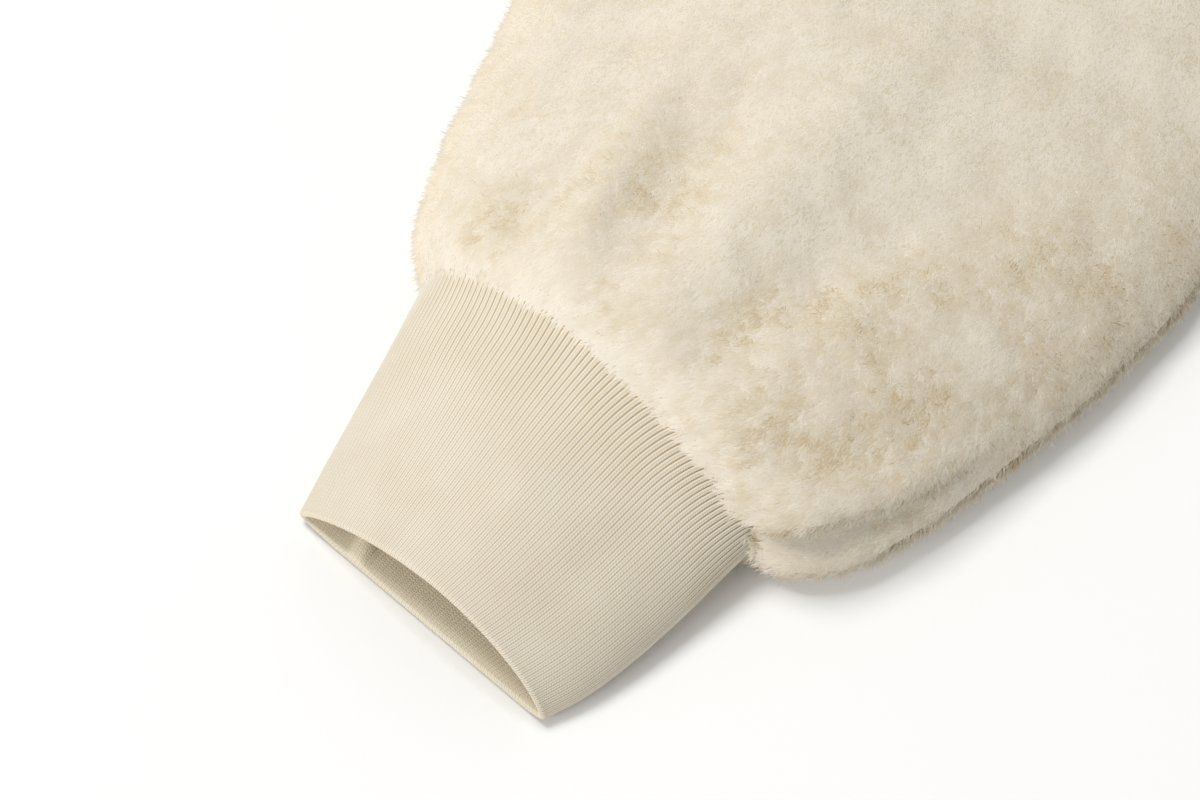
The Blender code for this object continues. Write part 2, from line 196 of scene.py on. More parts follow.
# %% Tables of the sleeve and the cuff, in millimetres
OUTER = slice(0, 2)
INNER = slice(2, 4)
CROWN = 4
BOTTOM = 5
OUTER_Z = 6
INNER_Z = 7
LEAN = 8
ARCH = 9

# columns: outer x, outer y, inner x, inner y, crown, bottom, outer z, inner z, lean, arch
SLEEVE = np.array([
    (-578.5, -171.0, -487.0, -260.5, 52.5, 0.0, 18.0, 14.0, 0.93, 1.05),
    (-580.5, -162.0, -476.5, -265.0, 56.5, 0.0, 20.0, 12.5, 0.93, 1.05),
    (-578.5, -150.0, -463.0, -262.8, 59.0, 0.0, 21.0, 11.5, 0.93, 1.05),
    (-573.0, -128.0, -443.0, -252.5, 60.5, 0.0, 22.0, 11.0, 0.93, 1.05),
    (-562.5, -96.0, -416.0, -230.0, 61.0, 0.0, 22.0, 11.0, 0.93, 1.05),
    (-548.0, -50.0, -386.0, -201.0, 59.0, 0.0, 20.0, 11.0, 0.93, 1.05),
    (-520.0, 18.0, -352.0, -158.0, 53.0, 0.0, 18.0, 11.0, 0.93, 1.05),
    (-466.0, 98.0, -326.0, -108.0, 44.0, 0.0, 15.0, 11.0, 0.93, 1.05),
    (-383.0, 182.0, -311.5, -64.0, 31.0, 0.0, 12.0, 10.5, 0.93, 1.05),
    (-290.6, 242.2, -305.6, -27.9, 19.0, 0.0, 10.0, 10.0, 0.93, 1.05),
])
CUFF = np.array([
    (-608.8, -241.5, -542.9, -305.0, 24.0, 0.0, 3.0, 3.0, 1.30, 1.25),
    (-602.0, -225.5, -532.0, -299.0, 27.0, 0.0, 5.0, 4.6, 1.18, 1.25),
    (-594.5, -209.0, -519.5, -289.0, 31.5, 0.0, 7.5, 6.8, 1.06, 1.25),
    (-586.8, -192.8, -507.0, -277.0, 36.5, 0.4, 10.0, 9.0, 0.93, 1.25),
    (-581.0, -180.0, -497.0, -266.8, 42.0, 1.8, 12.5, 11.5, 0.93, 1.25),
    (-577.2, -172.0, -489.2, -259.3, 46.5, 3.4, 14.0, 13.5, 0.93, 1.25),
])
print("Sleeve rows:", len(SLEEVE), "cuff rows:", len(CUFF))


# %% Reading and moving sections
def smooth_rows(table, places):
    """Reads a table at fractional rows, on a smooth curve through its rows."""
    places = np.asarray(places, float)
    base = np.clip(places.astype(int), 0, len(table) - 2)
    part = (places - base)[:, None]
    before, here, after = table[np.maximum(base - 1, 0)], table[base], table[base + 1]
    beyond = table[np.minimum(base + 2, len(table) - 1)]
    slope_in, slope_out = (after - before) / 2, (beyond - here) / 2
    bend = 3 * (after - here) - 2 * slope_in - slope_out
    twist = 2 * (here - after) + slope_in + slope_out
    return here + slope_in * part + bend * part ** 2 + twist * part ** 3


def grow(rows, sideways, upwards, lowest=0.0):
    """Moves the wall of each section out, or in for negative amounts."""
    rows = rows.copy()
    across = rows[:, INNER] - rows[:, OUTER]
    across /= np.linalg.norm(across, axis=1, keepdims=True)
    sideways = np.broadcast_to(sideways, len(rows))[:, None]
    rows[:, OUTER] -= across * sideways
    rows[:, INNER] += across * sideways
    rows[:, CROWN] += upwards
    rows[:, BOTTOM] = np.maximum(rows[:, BOTTOM] - upwards, lowest)
    return rows


# %% Points on a section
FINE_TURNS = 501
TINY = 1e-6
# the underside drops from its edges to its level within a short way
UNDER_FLAT = 1.6
UNDER_ROUND = 0.8


def section_points(rows, turns):
    """Points of sections, one row of points for each section, at the turns given."""
    turns = np.broadcast_to(turns, (len(rows), np.shape(turns)[-1]))
    angle = 2 * np.pi * turns
    side = np.abs(np.sin(angle))
    across = (0.5 * (1 - np.cos(angle))) ** (1 / rows[:, [LEAN]])
    edge_z = rows[:, [OUTER_Z]] + (rows[:, [INNER_Z]] - rows[:, [OUTER_Z]]) * across
    over = edge_z + (rows[:, [CROWN]] - edge_z) * side ** rows[:, [ARCH]]
    dropped = np.minimum(1.0, UNDER_FLAT * side ** UNDER_ROUND)
    under = edge_z - (edge_z - rows[:, [BOTTOM]]) * dropped
    height = np.where(turns <= 0.5, over, under)
    plan = rows[:, None, OUTER] + (rows[:, None, INNER] - rows[:, None, OUTER]) * across[..., None]
    return np.concatenate([plan, height[..., None]], axis=2)


def even_turns(rows, places, half=0):
    """Turns over the top (half 0) or underneath (half 1) of each section, at shares of its length."""
    start, end = 0.5 * half, 0.5 * half + 0.5
    fine = np.linspace(start, end, FINE_TURNS)
    points = section_points(rows, np.clip(fine, start + TINY, end - TINY))
    steps = np.linalg.norm(np.diff(points, axis=1), axis=2)
    lengths = np.concatenate([np.zeros((len(rows), 1)), np.cumsum(steps, axis=1)], axis=1)
    places = np.broadcast_to(places, (len(rows), np.shape(places)[-1]))
    return np.array([np.interp(part * row[-1], row, fine) for part, row in zip(places, lengths)])


middle_row = section_points(SLEEVE[4:5], [0.0, 0.25, 0.5])[0]
print("Edges and crown of the sleeve's fifth section:", middle_row.round(1).tolist())

# %% [markdown]
# ## Folds and soft noise
# Each fold is a soft ridge or trough along a curve on the floor plan, placed one by one, because a
# simulation wouldn't put the creases where the photograph has them. The ones that fan out from the cuff
# come from the gathers in its seam. Strokes of the same kind say where the pile stands open and shows its
# darker roots; most of them lie along the troughs, so this darker, warmer tone is partly the pile's parting
# and partly painted shade in the troughs. Noise for small unevenness is a sum of waves in random
# directions, which is smooth and the same on each run.

# %% Folds and strokes
# columns: start, middle, end, half width, height
SLEEVE_FOLDS = [
    ((-561, -194), (-545, -179), (-527, -153), 8.0, -3.0),
    ((-539, -207), (-532, -178), (-514, -142), 8.0, 3.4),
    ((-522, -207), (-507, -180), (-489, -134), 10.0, -3.2),
    ((-528, -220), (-490, -194), (-436, -112), 14.0, 5.0),
    ((-506, -238), (-485, -204), (-392, -150), 10.0, -2.8),
    ((-502, -246), (-484, -226), (-440, -196), 10.0, 1.2),
    ((-488, -252), (-466, -251), (-420, -224), 6.0, -3.0),
    ((-522, -130), (-526, -92), (-500, -40), 17.0, -4.0),
    ((-470, -120), (-452, -70), (-452, 0), 15.0, 3.6),
    ((-314, -60), (-372, -18), (-420, 62), 15.0, -4.0),
    ((-318, -78), (-392, -76), (-452, -22), 15.0, 3.6),
    ((-312, -40), (-338, 34), (-382, 104), 14.0, 3.2),
    ((-330, -118), (-382, -130), (-430, -98), 13.0, -3.4),
    ((-500, 20), (-456, 40), (-420, 96), 16.0, 2.8),
]
# columns: start, middle, end, half width, amount that the pile stands open and is painted darker, most of
# them along troughs, where that darker tone is partly painted shade
OPEN_AND_SHADED_PILE = [
    ((-572, -186), (-552, -181), (-528, -164), 13.0, 0.36),
    ((-527, -208), (-512, -178), (-491, -132), 18.0, 0.46),
    ((-500, -224), (-488, -216), (-456, -196), 11.0, 0.36),
    ((-504, -256), (-490, -249), (-464, -240), 8.0, 0.40),
    ((-508, -246), (-470, -222), (-380, -160), 15.0, 0.55),
    ((-492, -262), (-440, -242), (-340, -140), 15.0, 0.50),
    ((-520, -40), (-490, 20), (-440, 90), 24.0, 0.55),
    ((-340, -70), (-370, -20), (-400, 60), 22.0, 0.60),
]
CUFF_FOLDS = [
    ((-596, -236), (-580, -222), (-562, -206), 9.0, -0.9),
    ((-566, -276), (-548, -254), (-532, -236), 9.0, 0.9),
    ((-548, -292), (-532, -272), (-512, -256), 7.0, -0.8),
]
FRONT_FOLDS = [
    ((-292, -24), (-214, 12), (-120, 20), 15.0, 3.4),
    ((-284, 40), (-214, 64), (-150, 52), 15.0, 2.6),
    ((-286, -80), (-222, -60), (-160, -96), 17.0, 2.8),
    ((-200, -262), (-190, -206), (-204, -150), 15.0, 3.2),
    ((-108, -262), (-98, -214), (-84, -166), 15.0, 2.8),
    ((-36, -262), (-30, -196), (-44, -120), 15.0, 2.6),
    ((-240, 214), (-196, 196), (-150, 210), 15.0, 2.2),
    ((-60, 196), (-30, 170), (-10, 120), 17.0, 2.2),
]
print("Folds on a sleeve:", len(SLEEVE_FOLDS), "and on the front:", len(FRONT_FOLDS))

# %% Height of folds, and noise
CURVE_STEPS = 12
NOISE_WAVES = 16


def fold_lift(folds, x, y):
    """Height that the folds add at places in plan."""
    place = np.stack([x, y], axis=-1)
    total = np.zeros(np.shape(x))
    for start, middle, end, half_width, height in folds:
        start, middle, end = (np.array(point, float) for point in (start, middle, end))
        parts = np.linspace(0.0, 1.0, CURVE_STEPS + 1)[:, None]
        curve = start * (1 - parts) ** 2 + middle * 2 * parts * (1 - parts) + end * parts ** 2
        nearest = np.full(np.shape(x), 1e9)
        along = np.zeros(np.shape(x))
        for number, (a, b) in enumerate(zip(curve, curve[1:])):
            run = b - a
            part = np.clip(((place - a) @ run) / (run @ run), 0.0, 1.0)
            apart = np.linalg.norm(place - (a + part[..., None] * run), axis=-1)
            closer = apart < nearest
            nearest = np.where(closer, apart, nearest)
            along = np.where(closer, (number + part) / CURVE_STEPS, along)
        # a fold dies away towards both of its ends
        fade = np.sin(np.pi * np.clip(along, 0.06, 0.94)) ** 0.6
        total += height * fade * np.exp(-(nearest / half_width) ** 2)
    return total


def unit(vectors):
    """Vectors at a length of one."""
    return vectors / np.maximum(np.linalg.norm(vectors, axis=-1, keepdims=True), 1e-9)


def soft_noise(points, size, seed):
    """Smooth noise of about unit strength, whose bumps are about size millimetres apart."""
    draw = np.random.default_rng(seed)
    total = np.zeros(points.shape[:-1])
    for _ in range(NOISE_WAVES):
        heading = draw.normal(size=3)
        heading *= 2 * np.pi / (size * draw.uniform(0.75, 1.6)) / np.linalg.norm(heading)
        total += np.cos(points @ heading + draw.uniform(0, 2 * np.pi))
    return total / np.sqrt(NOISE_WAVES / 2)


lift_here = fold_lift(SLEEVE_FOLDS, np.array([-488.0]), np.array([-180.0]))
print("Folds lift the sleeve near the cuff by", round(float(lift_here[0]), 1), "mm")

# %% [markdown]
# ## Cloth from a grid
# A knitted tube is a grid of stitches joined at a seam, so it is modelled that way: Blender's own
# grid gives the faces, each vertex is moved to its place on the cloth, and the rows or columns
# that come round to meet each other are merged. A UV map that counts ribs across and millimetres
# along lets the materials follow the knit. It is set before the merge, while the vertices are
# still in the grid's order, and it stays with the faces' corners.

# %% A cloth object from a grid
def cloth_object(name, points, material, uv=None, wrap_columns=True, wrap_rows=True, mirror=False):
    """A mesh object from a grid of points, closed where its sides come round to meet."""
    if wrap_columns:
        points = np.concatenate([points, points[:, :1]], axis=1)
    if wrap_rows:
        points = np.concatenate([points, points[:1]], axis=0)
    rows, columns = points.shape[:2]
    places = points.reshape(-1, 3) * MM
    if mirror:
        places = places * (-1, 1, 1)
    bm = bmesh.new()
    bmesh.ops.create_grid(bm, x_segments=columns - 1, y_segments=rows - 1, size=1.0)
    mesh = bpy.data.meshes.new(name)
    bm.to_mesh(mesh)
    bm.free()
    if uv is not None:
        corners = np.empty(len(mesh.loops), np.int32)
        mesh.loops.foreach_get("vertex_index", corners)
        layer = mesh.uv_layers.new(name="knit")
        layer.data.foreach_set("uv", uv.reshape(-1, 2)[corners].astype(np.float32).ravel())
    mesh.vertices.foreach_set("co", places.astype(np.float32).ravel())
    bm = bmesh.new()
    bm.from_mesh(mesh)
    bmesh.ops.remove_doubles(bm, verts=bm.verts, dist=1e-6)
    bmesh.ops.recalc_face_normals(bm, faces=bm.faces)
    bm.to_mesh(mesh)
    bm.free()
    mesh.shade_smooth()
    mesh.materials.append(material)
    made = bpy.data.objects.new(name, mesh)
    scene.collection.objects.link(made)
    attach(made, "root")
    print(name, len(mesh.polygons), "faces")
    return made


# %% Normals of a grid
def grid_normals(points, closed=True):
    """Outward unit normals of a grid of points that goes round a tube, or lies face up."""
    if closed:
        around = np.roll(points, -1, axis=1) - np.roll(points, 1, axis=1)
    else:
        around = np.gradient(points, axis=1)
    normals = np.cross(around, np.gradient(points, axis=0))
    normals /= np.maximum(np.linalg.norm(normals, axis=2, keepdims=True), 1e-9)
    top = normals[0, : points.shape[1] // 2, 2]
    return normals if top.mean() > 0 else -normals


# %% [markdown]
# ## Rib knit material
# One by one rib is columns of knit stitches with purl columns sunk between them. The eye sees pale rounded
# ribs, narrow warm grooves in shade, and a fine slanting grain where each stitch is a small V. That shade
# is painted into the colour: the grooves, a fine line down each crest and the hollows of the stitches are
# darker, more so where the grooves stand open, and the knit inside the fold is a little darker and warmer.
# The map counts one unit for each rib, and one for each millimetre along it, so the pattern is drawn from
# the map and turns with the cloth. A picture of knit would do as well from afar, but it would blur in a
# close view.
#
# Inside a cuff the light bounces between the layers many times, more often than a render
# follows it. So the rows inside the mouth get a glow mixed into their tone by Screen, which
# only ever brightens.

# %% Pattern of the rib
# stitches 0.8 mm long give the eye a grain that is finer than the ribs, which are 1.15 mm apart
STITCH_MM = 0.8
# the grain slants by about half a stitch from a crest to its groove
STITCH_SLANT = 1.1


def rib_pattern(tree):
    """Sockets: millimetres along the rib, distance from its crest (0 to 0.5) and stitch wave."""
    knit = add_node(tree, "ShaderNodeUVMap", uv_map="knit")
    apart = add_node(tree, "ShaderNodeSeparateXYZ", [("Vector", knit.outputs["UV"])])
    across = add_node(tree, "ShaderNodeMath", [(0, apart.outputs["X"])], operation="FRACT")
    middle = add_node(tree, "ShaderNodeMath", [(0, across.outputs[0]), (1, 0.5)], operation="SUBTRACT")
    off_crest = add_node(tree, "ShaderNodeMath", [(0, middle.outputs[0])], operation="ABSOLUTE")
    slant = add_node(tree, "ShaderNodeMath", [
        (0, off_crest.outputs[0]), (1, STITCH_SLANT),
    ], operation="MULTIPLY")
    rows = add_node(tree, "ShaderNodeMath", [
        (0, apart.outputs["Y"]), (1, 1 / STITCH_MM),
    ], operation="MULTIPLY")
    phase = add_node(tree, "ShaderNodeMath", [(0, rows.outputs[0]), (1, slant.outputs[0])], operation="ADD")
    turn = add_node(tree, "ShaderNodeMath", [(0, phase.outputs[0]), (1, 2 * np.pi)], operation="MULTIPLY")
    wave = add_node(tree, "ShaderNodeMath", [(0, turn.outputs[0])], operation="SINE")
    return apart.outputs["Y"], off_crest.outputs[0], wave.outputs[0]


# %% Depth of the grooves
def knit_shade_and_dye(tree, mm_along, off_crest, wave):
    """How much painted shade the knit gets, from 0 on a crest to 1 in a groove that is stretched open, with
    patches of uneven dye.
    """
    edge = add_node(tree, "ShaderNodeMapRange", [
        ("Value", off_crest), ("From Min", 0.33), ("From Max", 0.50), ("To Min", 0.0), ("To Max", 1.0),
    ], interpolation_type="SMOOTHSTEP")
    # grooves open from 30 mm up the cuff, where the fuller sleeve stretches it, and get more painted shade
    # there
    along = add_node(tree, "ShaderNodeMath", [(0, mm_along)], operation="ABSOLUTE")
    opened = add_node(tree, "ShaderNodeMapRange", [
        ("Value", along.outputs[0]), ("From Min", 30.0), ("From Max", 62.0),
        ("To Min", 0.64), ("To Max", 1.0),
    ])
    # below zero the map is inside the fold, where the grooves get more painted shade
    inside = add_node(tree, "ShaderNodeMapRange", [
        ("Value", mm_along), ("From Min", -6.0), ("From Max", 1.0), ("To Min", 0.30), ("To Max", 0.0),
    ])
    groove_shade_strength = add_node(tree, "ShaderNodeMath", [
        (0, opened.outputs[0]), (1, inside.outputs[0]),
    ], operation="ADD")
    sunk = add_node(tree, "ShaderNodeMath", [
        (0, edge.outputs[0]), (1, groove_shade_strength.outputs[0]),
    ], operation="MULTIPLY")
    # painted shade: a fine dark line runs down each crest, between the two legs of its stitches
    crest = add_node(tree, "ShaderNodeMapRange", [
        ("Value", off_crest), ("From Min", 0.0), ("From Max", 0.15), ("To Min", 0.42), ("To Max", 0.0),
    ], interpolation_type="SMOOTHSTEP")
    lines = add_node(tree, "ShaderNodeMath", [(0, sunk.outputs[0]), (1, crest.outputs[0])], operation="ADD")
    # patches of about 17 mm, as yarn takes dye a little unevenly
    place = add_node(tree, "ShaderNodeTexCoord")
    uneven = add_node(tree, "ShaderNodeTexNoise", [
        ("Vector", place.outputs["Object"]), ("Scale", 60.0), ("Detail", 3.0),
    ])
    shade = add_node(tree, "ShaderNodeMapRange", [
        ("Value", uneven.outputs["Fac"]), ("From Min", 0.3), ("From Max", 0.7),
        ("To Min", 0.0), ("To Max", 0.10),
    ])
    # painted shade: inside the fold the whole knit is a little darker and warmer
    warm = add_node(tree, "ShaderNodeMath", [(0, inside.outputs[0]), (1, 0.1)], operation="MULTIPLY")
    base = add_node(tree, "ShaderNodeMath", [(0, shade.outputs[0]), (1, warm.outputs[0])], operation="ADD")
    sink = add_node(tree, "ShaderNodeMath", [(0, lines.outputs[0]), (1, base.outputs[0])], operation="ADD")
    # painted shade: the stitch wave makes the hollows of each stitch a little darker
    dark = add_node(tree, "ShaderNodeMath", [(0, wave), (1, -0.05)], operation="MULTIPLY")
    shade_and_dye = add_node(tree, "ShaderNodeMath", [(0, sink.outputs[0]), (1, dark.outputs[0])], operation="ADD")
    return shade_and_dye.outputs[0]


# %% Rib knit, spun cotton with a soft surface
CREAM = "#DAD4C5"
# painted shade: the grooves' darker, warmer tone stands for the shade in them
SHADED_GROOVE = "#A88C5B"
NO_GLOW = "#000000"
INNER_GLOW = "#C2AE88"
# the stitches stand out by about a tenth of a millimetre
STITCH_BUMP = 0.00012


def rib_material(name, ridge, groove, grain, inner_glow=NO_GLOW):
    """Rib knit whose grooves are painted in a darker tone for their shade, with a stitch grain, and a
    painted glow of bounced light where it is folded inside.
    """
    material, tree, shader = new_material(name)
    mm_along, off_crest, wave = rib_pattern(tree)
    shade_and_dye = knit_shade_and_dye(tree, mm_along, off_crest, wave)
    tones = add_node(tree, "ShaderNodeValToRGB", [("Fac", shade_and_dye)])
    set_ramp(tones, [(0.0, ridge), (1.0, groove)])
    within = add_node(tree, "ShaderNodeMapRange", [
        ("Value", mm_along), ("From Min", -2.5), ("From Max", 1.2), ("To Min", 1.0), ("To Max", 0.0),
    ], interpolation_type="SMOOTHSTEP")
    bright = add_node(tree, "ShaderNodeMix", [
        (0, within.outputs[0]), (6, tones.outputs["Color"]), (7, hex_colour(inner_glow)),
    ], data_type="RGBA", blend_type="SCREEN")
    tree.links.new(bright.outputs[2], shader.inputs["Base Color"])
    bump = add_node(tree, "ShaderNodeBump", [
        ("Strength", grain), ("Distance", STITCH_BUMP), ("Height", wave),
    ])
    tree.links.new(bump.outputs["Normal"], shader.inputs["Normal"])
    shader.inputs["Roughness"].default_value = 0.85
    shader.inputs["Specular IOR Level"].default_value = 0.25
    shader.inputs["Sheen Weight"].default_value = 0.15
    shader.inputs["Sheen Roughness"].default_value = 0.5
    print(name, "has", len(tree.nodes), "nodes")
    return material


RIB_KNIT = rib_material("cream_rib_knit", CREAM, SHADED_GROOVE, 0.25)
CUFF_KNIT = rib_material("cream_cuff_rib_knit", CREAM, SHADED_GROOVE, 0.25, INNER_GLOW)

# %% [markdown]
# ## Cuffs
# A cuff is one piece of rib folded double: the fold is its mouth, and both raw ends are sewn to
# the sleeve. Its rows start at the seam, run down the outside, round the fold and back up the
# inside. The ribs could be a bump in the material, but in a close view their outline shows at
# the mouth, so they are raised points: eight across each rib of the right cuff, which the
# picture shows, and four across each of the left. Near the seam the fuller sleeve stretches the
# rib, so the ribs fan out there and their grooves open up.

# %% Helpers for a band of rib
def groove(phase, middle, wide):
    """A narrow dip, 1 at its middle, once in each rib; places in the rib go from 0 to 1."""
    apart = np.abs((phase - middle + 0.5) % 1.0 - 0.5)
    return np.exp(-(apart / wide) ** 2)


def push_out(points, amount):
    """Moves a tube's points along its outward normals."""
    return points + grid_normals(points) * amount[..., None]


def band_rows(table, wall, long, counts):
    """Sections of a doubled band from its seam over its fold and back, and their marks in mm."""
    outer_rows, fold_rows, inner_rows = counts
    steps = len(table) - 1
    fold_start = wall / 2 / long
    out = np.linspace(1.0, fold_start, outer_rows)
    rows = [smooth_rows(table, out * steps)]
    marks = list(out * long)
    heading = (table[0] - table[-1])[OUTER] + (table[0] - table[-1])[INNER]
    heading /= np.linalg.norm(heading)
    for part in np.linspace(0.0, 1.0, fold_rows + 2)[1:-1]:
        sunk = -wall / 2 * (1 - np.cos(np.pi * part))
        row = grow(smooth_rows(table, [fold_start * steps]), sunk, sunk)
        row[:, OUTER] += heading * wall / 2 * np.sin(np.pi * part)
        row[:, INNER] += heading * wall / 2 * np.sin(np.pi * part)
        rows.append(row)
        marks.append(wall * (0.5 - part))
    back = np.linspace(fold_start, 1.0, inner_rows)
    rows.append(grow(smooth_rows(table, back * steps), -wall, -wall))
    marks += list(-back * long)
    return np.concatenate(rows), np.array(marks)


# %% Points of a band
def band_grid(table, wall, long, ribs, under_ribs, per_rib, counts, fan=(0.0, 0.0)):
    """Points of a doubled band, the ribs counted across it and its marks in mm along it."""
    rows, marks = band_rows(table, wall, long, counts)
    top_count = ribs * per_rib
    under_count = under_ribs * max(per_rib // 2, 2)
    shares = np.arange(top_count) / top_count
    along = np.clip(np.abs(marks) / long, 0, 1)[:, None]
    lean = fan[0] * along * np.sin(np.pi * shares) ** 0.7
    spread = fan[1] * np.clip((along - 0.7) / 0.3, 0, 1) ** 2 * -np.sin(2 * np.pi * shares)
    top = even_turns(rows, shares + lean + spread)
    under = even_turns(rows, np.arange(under_count) / under_count, half=1)
    points = section_points(rows, np.concatenate([top, under], axis=1))
    rib_marks = np.concatenate([
        np.arange(top_count) / per_rib, ribs + np.arange(under_count) * under_ribs / under_count,
    ])
    return points, rib_marks, marks


def rib_map(rib_marks, marks, last_rib, last_mark):
    """The map of ribs across and millimetres along, for a grid that closes both ways."""
    across = np.concatenate([rib_marks, [last_rib]])
    along = np.concatenate([marks, [last_mark]])
    return np.stack(np.meshgrid(across, along), axis=-1)


# %% Cuffs
CUFF_RIBS = 80
UNDER_RIBS = 70
CUFF_WALL = 2.4
CUFF_LONG = 71.0
# how far the ribs lean and spread towards the seam, as shares of the section
CUFF_FAN = (0.062, 0.022)
# heights and depths of the knit in millimetres
RIB_HIGH = 0.12
OPEN_DEEP = 0.40
INNER_DEEP = 0.14
CREST_DEEP = 0.11
# widths of a groove and of the line on a crest, as shares of a rib
GROOVE_WIDE = 0.16
CREST_WIDE = 0.12
# the side seam under the inner layer: its place as a share of the ribs there, height in mm, and
# width in ribs
SIDE_SEAM_AT = 0.78
SIDE_SEAM_HIGH = 3.2
SIDE_SEAM_WIDE = 2.4


def cuff_grid(per_rib, counts):
    """The doubled cuff's points and its map."""
    points, ribs, marks = band_grid(
        CUFF, CUFF_WALL, CUFF_LONG, CUFF_RIBS, UNDER_RIBS, per_rib, counts, fan=CUFF_FAN,
    )
    over = ribs < CUFF_RIBS
    outside = marks > 0
    # folds die away towards the edges, where the cuff is low
    lift = fold_lift(CUFF_FOLDS, points[..., 0], points[..., 1])
    points[..., 2] += lift * over * np.clip(points[..., 2] / 12 - 0.5, 0, 1)
    # grooves deepen over the last 45% of the way to the seam
    opened = np.clip((np.abs(marks) / CUFF_LONG - 0.55) / 0.45, 0, 1) ** 1.5
    deep = np.where(outside, RIB_HIGH + OPEN_DEEP * opened, INNER_DEEP)
    between = deep[:, None] * groove(ribs, 0.0, GROOVE_WIDE)
    relief = RIB_HIGH - between - CREST_DEEP * groove(ribs, 0.5, CREST_WIDE)
    relief = np.where(outside[:, None] & ~over[None, :], 0.0, relief)
    points = push_out(points, relief)
    from_seam = np.abs(ribs - CUFF_RIBS - SIDE_SEAM_AT * UNDER_RIBS)
    seam = SIDE_SEAM_HIGH * np.exp(-(from_seam / SIDE_SEAM_WIDE) ** 3)
    points[..., 2] += seam[None, :] * np.clip(-marks[:, None] / 3, 0, 1)
    points[..., 2] = np.maximum(points[..., 2], 0.0)
    return points, rib_map(ribs, marks, CUFF_RIBS + UNDER_RIBS, -CUFF_LONG - CUFF_WALL)


# columns: side, mirrored, points for each rib, then rows outside, round the fold and inside
for word, mirror, per_rib, counts in (("right", False, 8, (44, 5, 14)), ("left", True, 4, (14, 5, 6))):
    points, uv = cuff_grid(per_rib, counts)
    cloth_object("cuff_rib_" + word, points, CUFF_KNIT, uv, mirror=mirror)

# %% [markdown]
# ## Pile material
# The pile is polyester fibre, cut to one length and brushed. Its fibres are cream at their tips and warmer
# and darker at their roots, which is painted shade down in the pile, and where the pile opens the warm tone
# shows. The pile is made in two layers: a body, which is a wall whose colour changes with small tufts and
# wide patches and is painted darker for the shade at the bottom of the pile, and the fibres that stand on
# it. Hair strands could be used, but they don't leave Blender as a mesh, so the fibres are small blades
# with a map of their own: across it the tone of the tuft, and up it the way from root to tip.

# %% Pile body
# tufts of 3.2 mm are as large as they look in the photograph, and patches are eight times that
TUFT_MM = 3.2
PATCH_MM = 26


def pile_body_material():
    """The dense lower pile, seen between the fibres, painted darker than their tips for the shade at the
    bottom of the pile.
    """
    material, tree, shader = new_material("cream_pile_body")
    place = add_node(tree, "ShaderNodeTexCoord")
    fine = add_node(tree, "ShaderNodeTexNoise", [
        ("Vector", place.outputs["Object"]), ("Scale", 1 / (TUFT_MM * MM)),
        ("Detail", 4.0), ("Roughness", 0.65),
    ])
    wide = add_node(tree, "ShaderNodeTexNoise", [
        ("Vector", place.outputs["Object"]), ("Scale", 1 / (PATCH_MM * MM)), ("Detail", 2.0),
    ])
    both = add_node(tree, "ShaderNodeMix", [
        (0, 0.35), (2, fine.outputs["Fac"]), (3, wide.outputs["Fac"]),
    ], data_type="FLOAT")
    tones = add_node(tree, "ShaderNodeValToRGB", [("Fac", both.outputs[0])])
    # painted shade: these tones are darker and warmer than the fibres' tips, and the tufts and patches vary
    # them at random
    set_ramp(tones, [(0.32, "#CFC3A8"), (0.5, "#D3C9B3"), (0.68, "#D6CEBE")])
    tree.links.new(tones.outputs["Color"], shader.inputs["Base Color"])
    bump = add_node(tree, "ShaderNodeBump", [
        ("Strength", 0.15), ("Distance", 0.0012), ("Height", fine.outputs["Fac"]),
    ])
    tree.links.new(bump.outputs["Normal"], shader.inputs["Normal"])
    shader.inputs["Roughness"].default_value = 1.0
    shader.inputs["Specular IOR Level"].default_value = 0.1
    shader.inputs["Sheen Weight"].default_value = 0.2
    return material


PILE_BODY = pile_body_material()
print("Pile body in tufts of", TUFT_MM, "mm and patches of", PATCH_MM, "mm")

# %% [markdown]
# ## Light in a fibre
# A thin fibre sends part of the light back and lets part of it through. A blade has two faces
# and one shading normal, the cloth's, so a plain shader would leave every blade dark that
# happens to show its back. The material therefore has a half for each face, and the two give
# the same light. In the front half the surface reflects, and a translucent part brings the glow
# from the other side. In the back half the two change places. Each pair is mixed and not added,
# so that a fibre never sends out more light than reaches it.

# %% Fibres of the pile
# the share of the light that passes through a fibre
THROUGH = 0.35


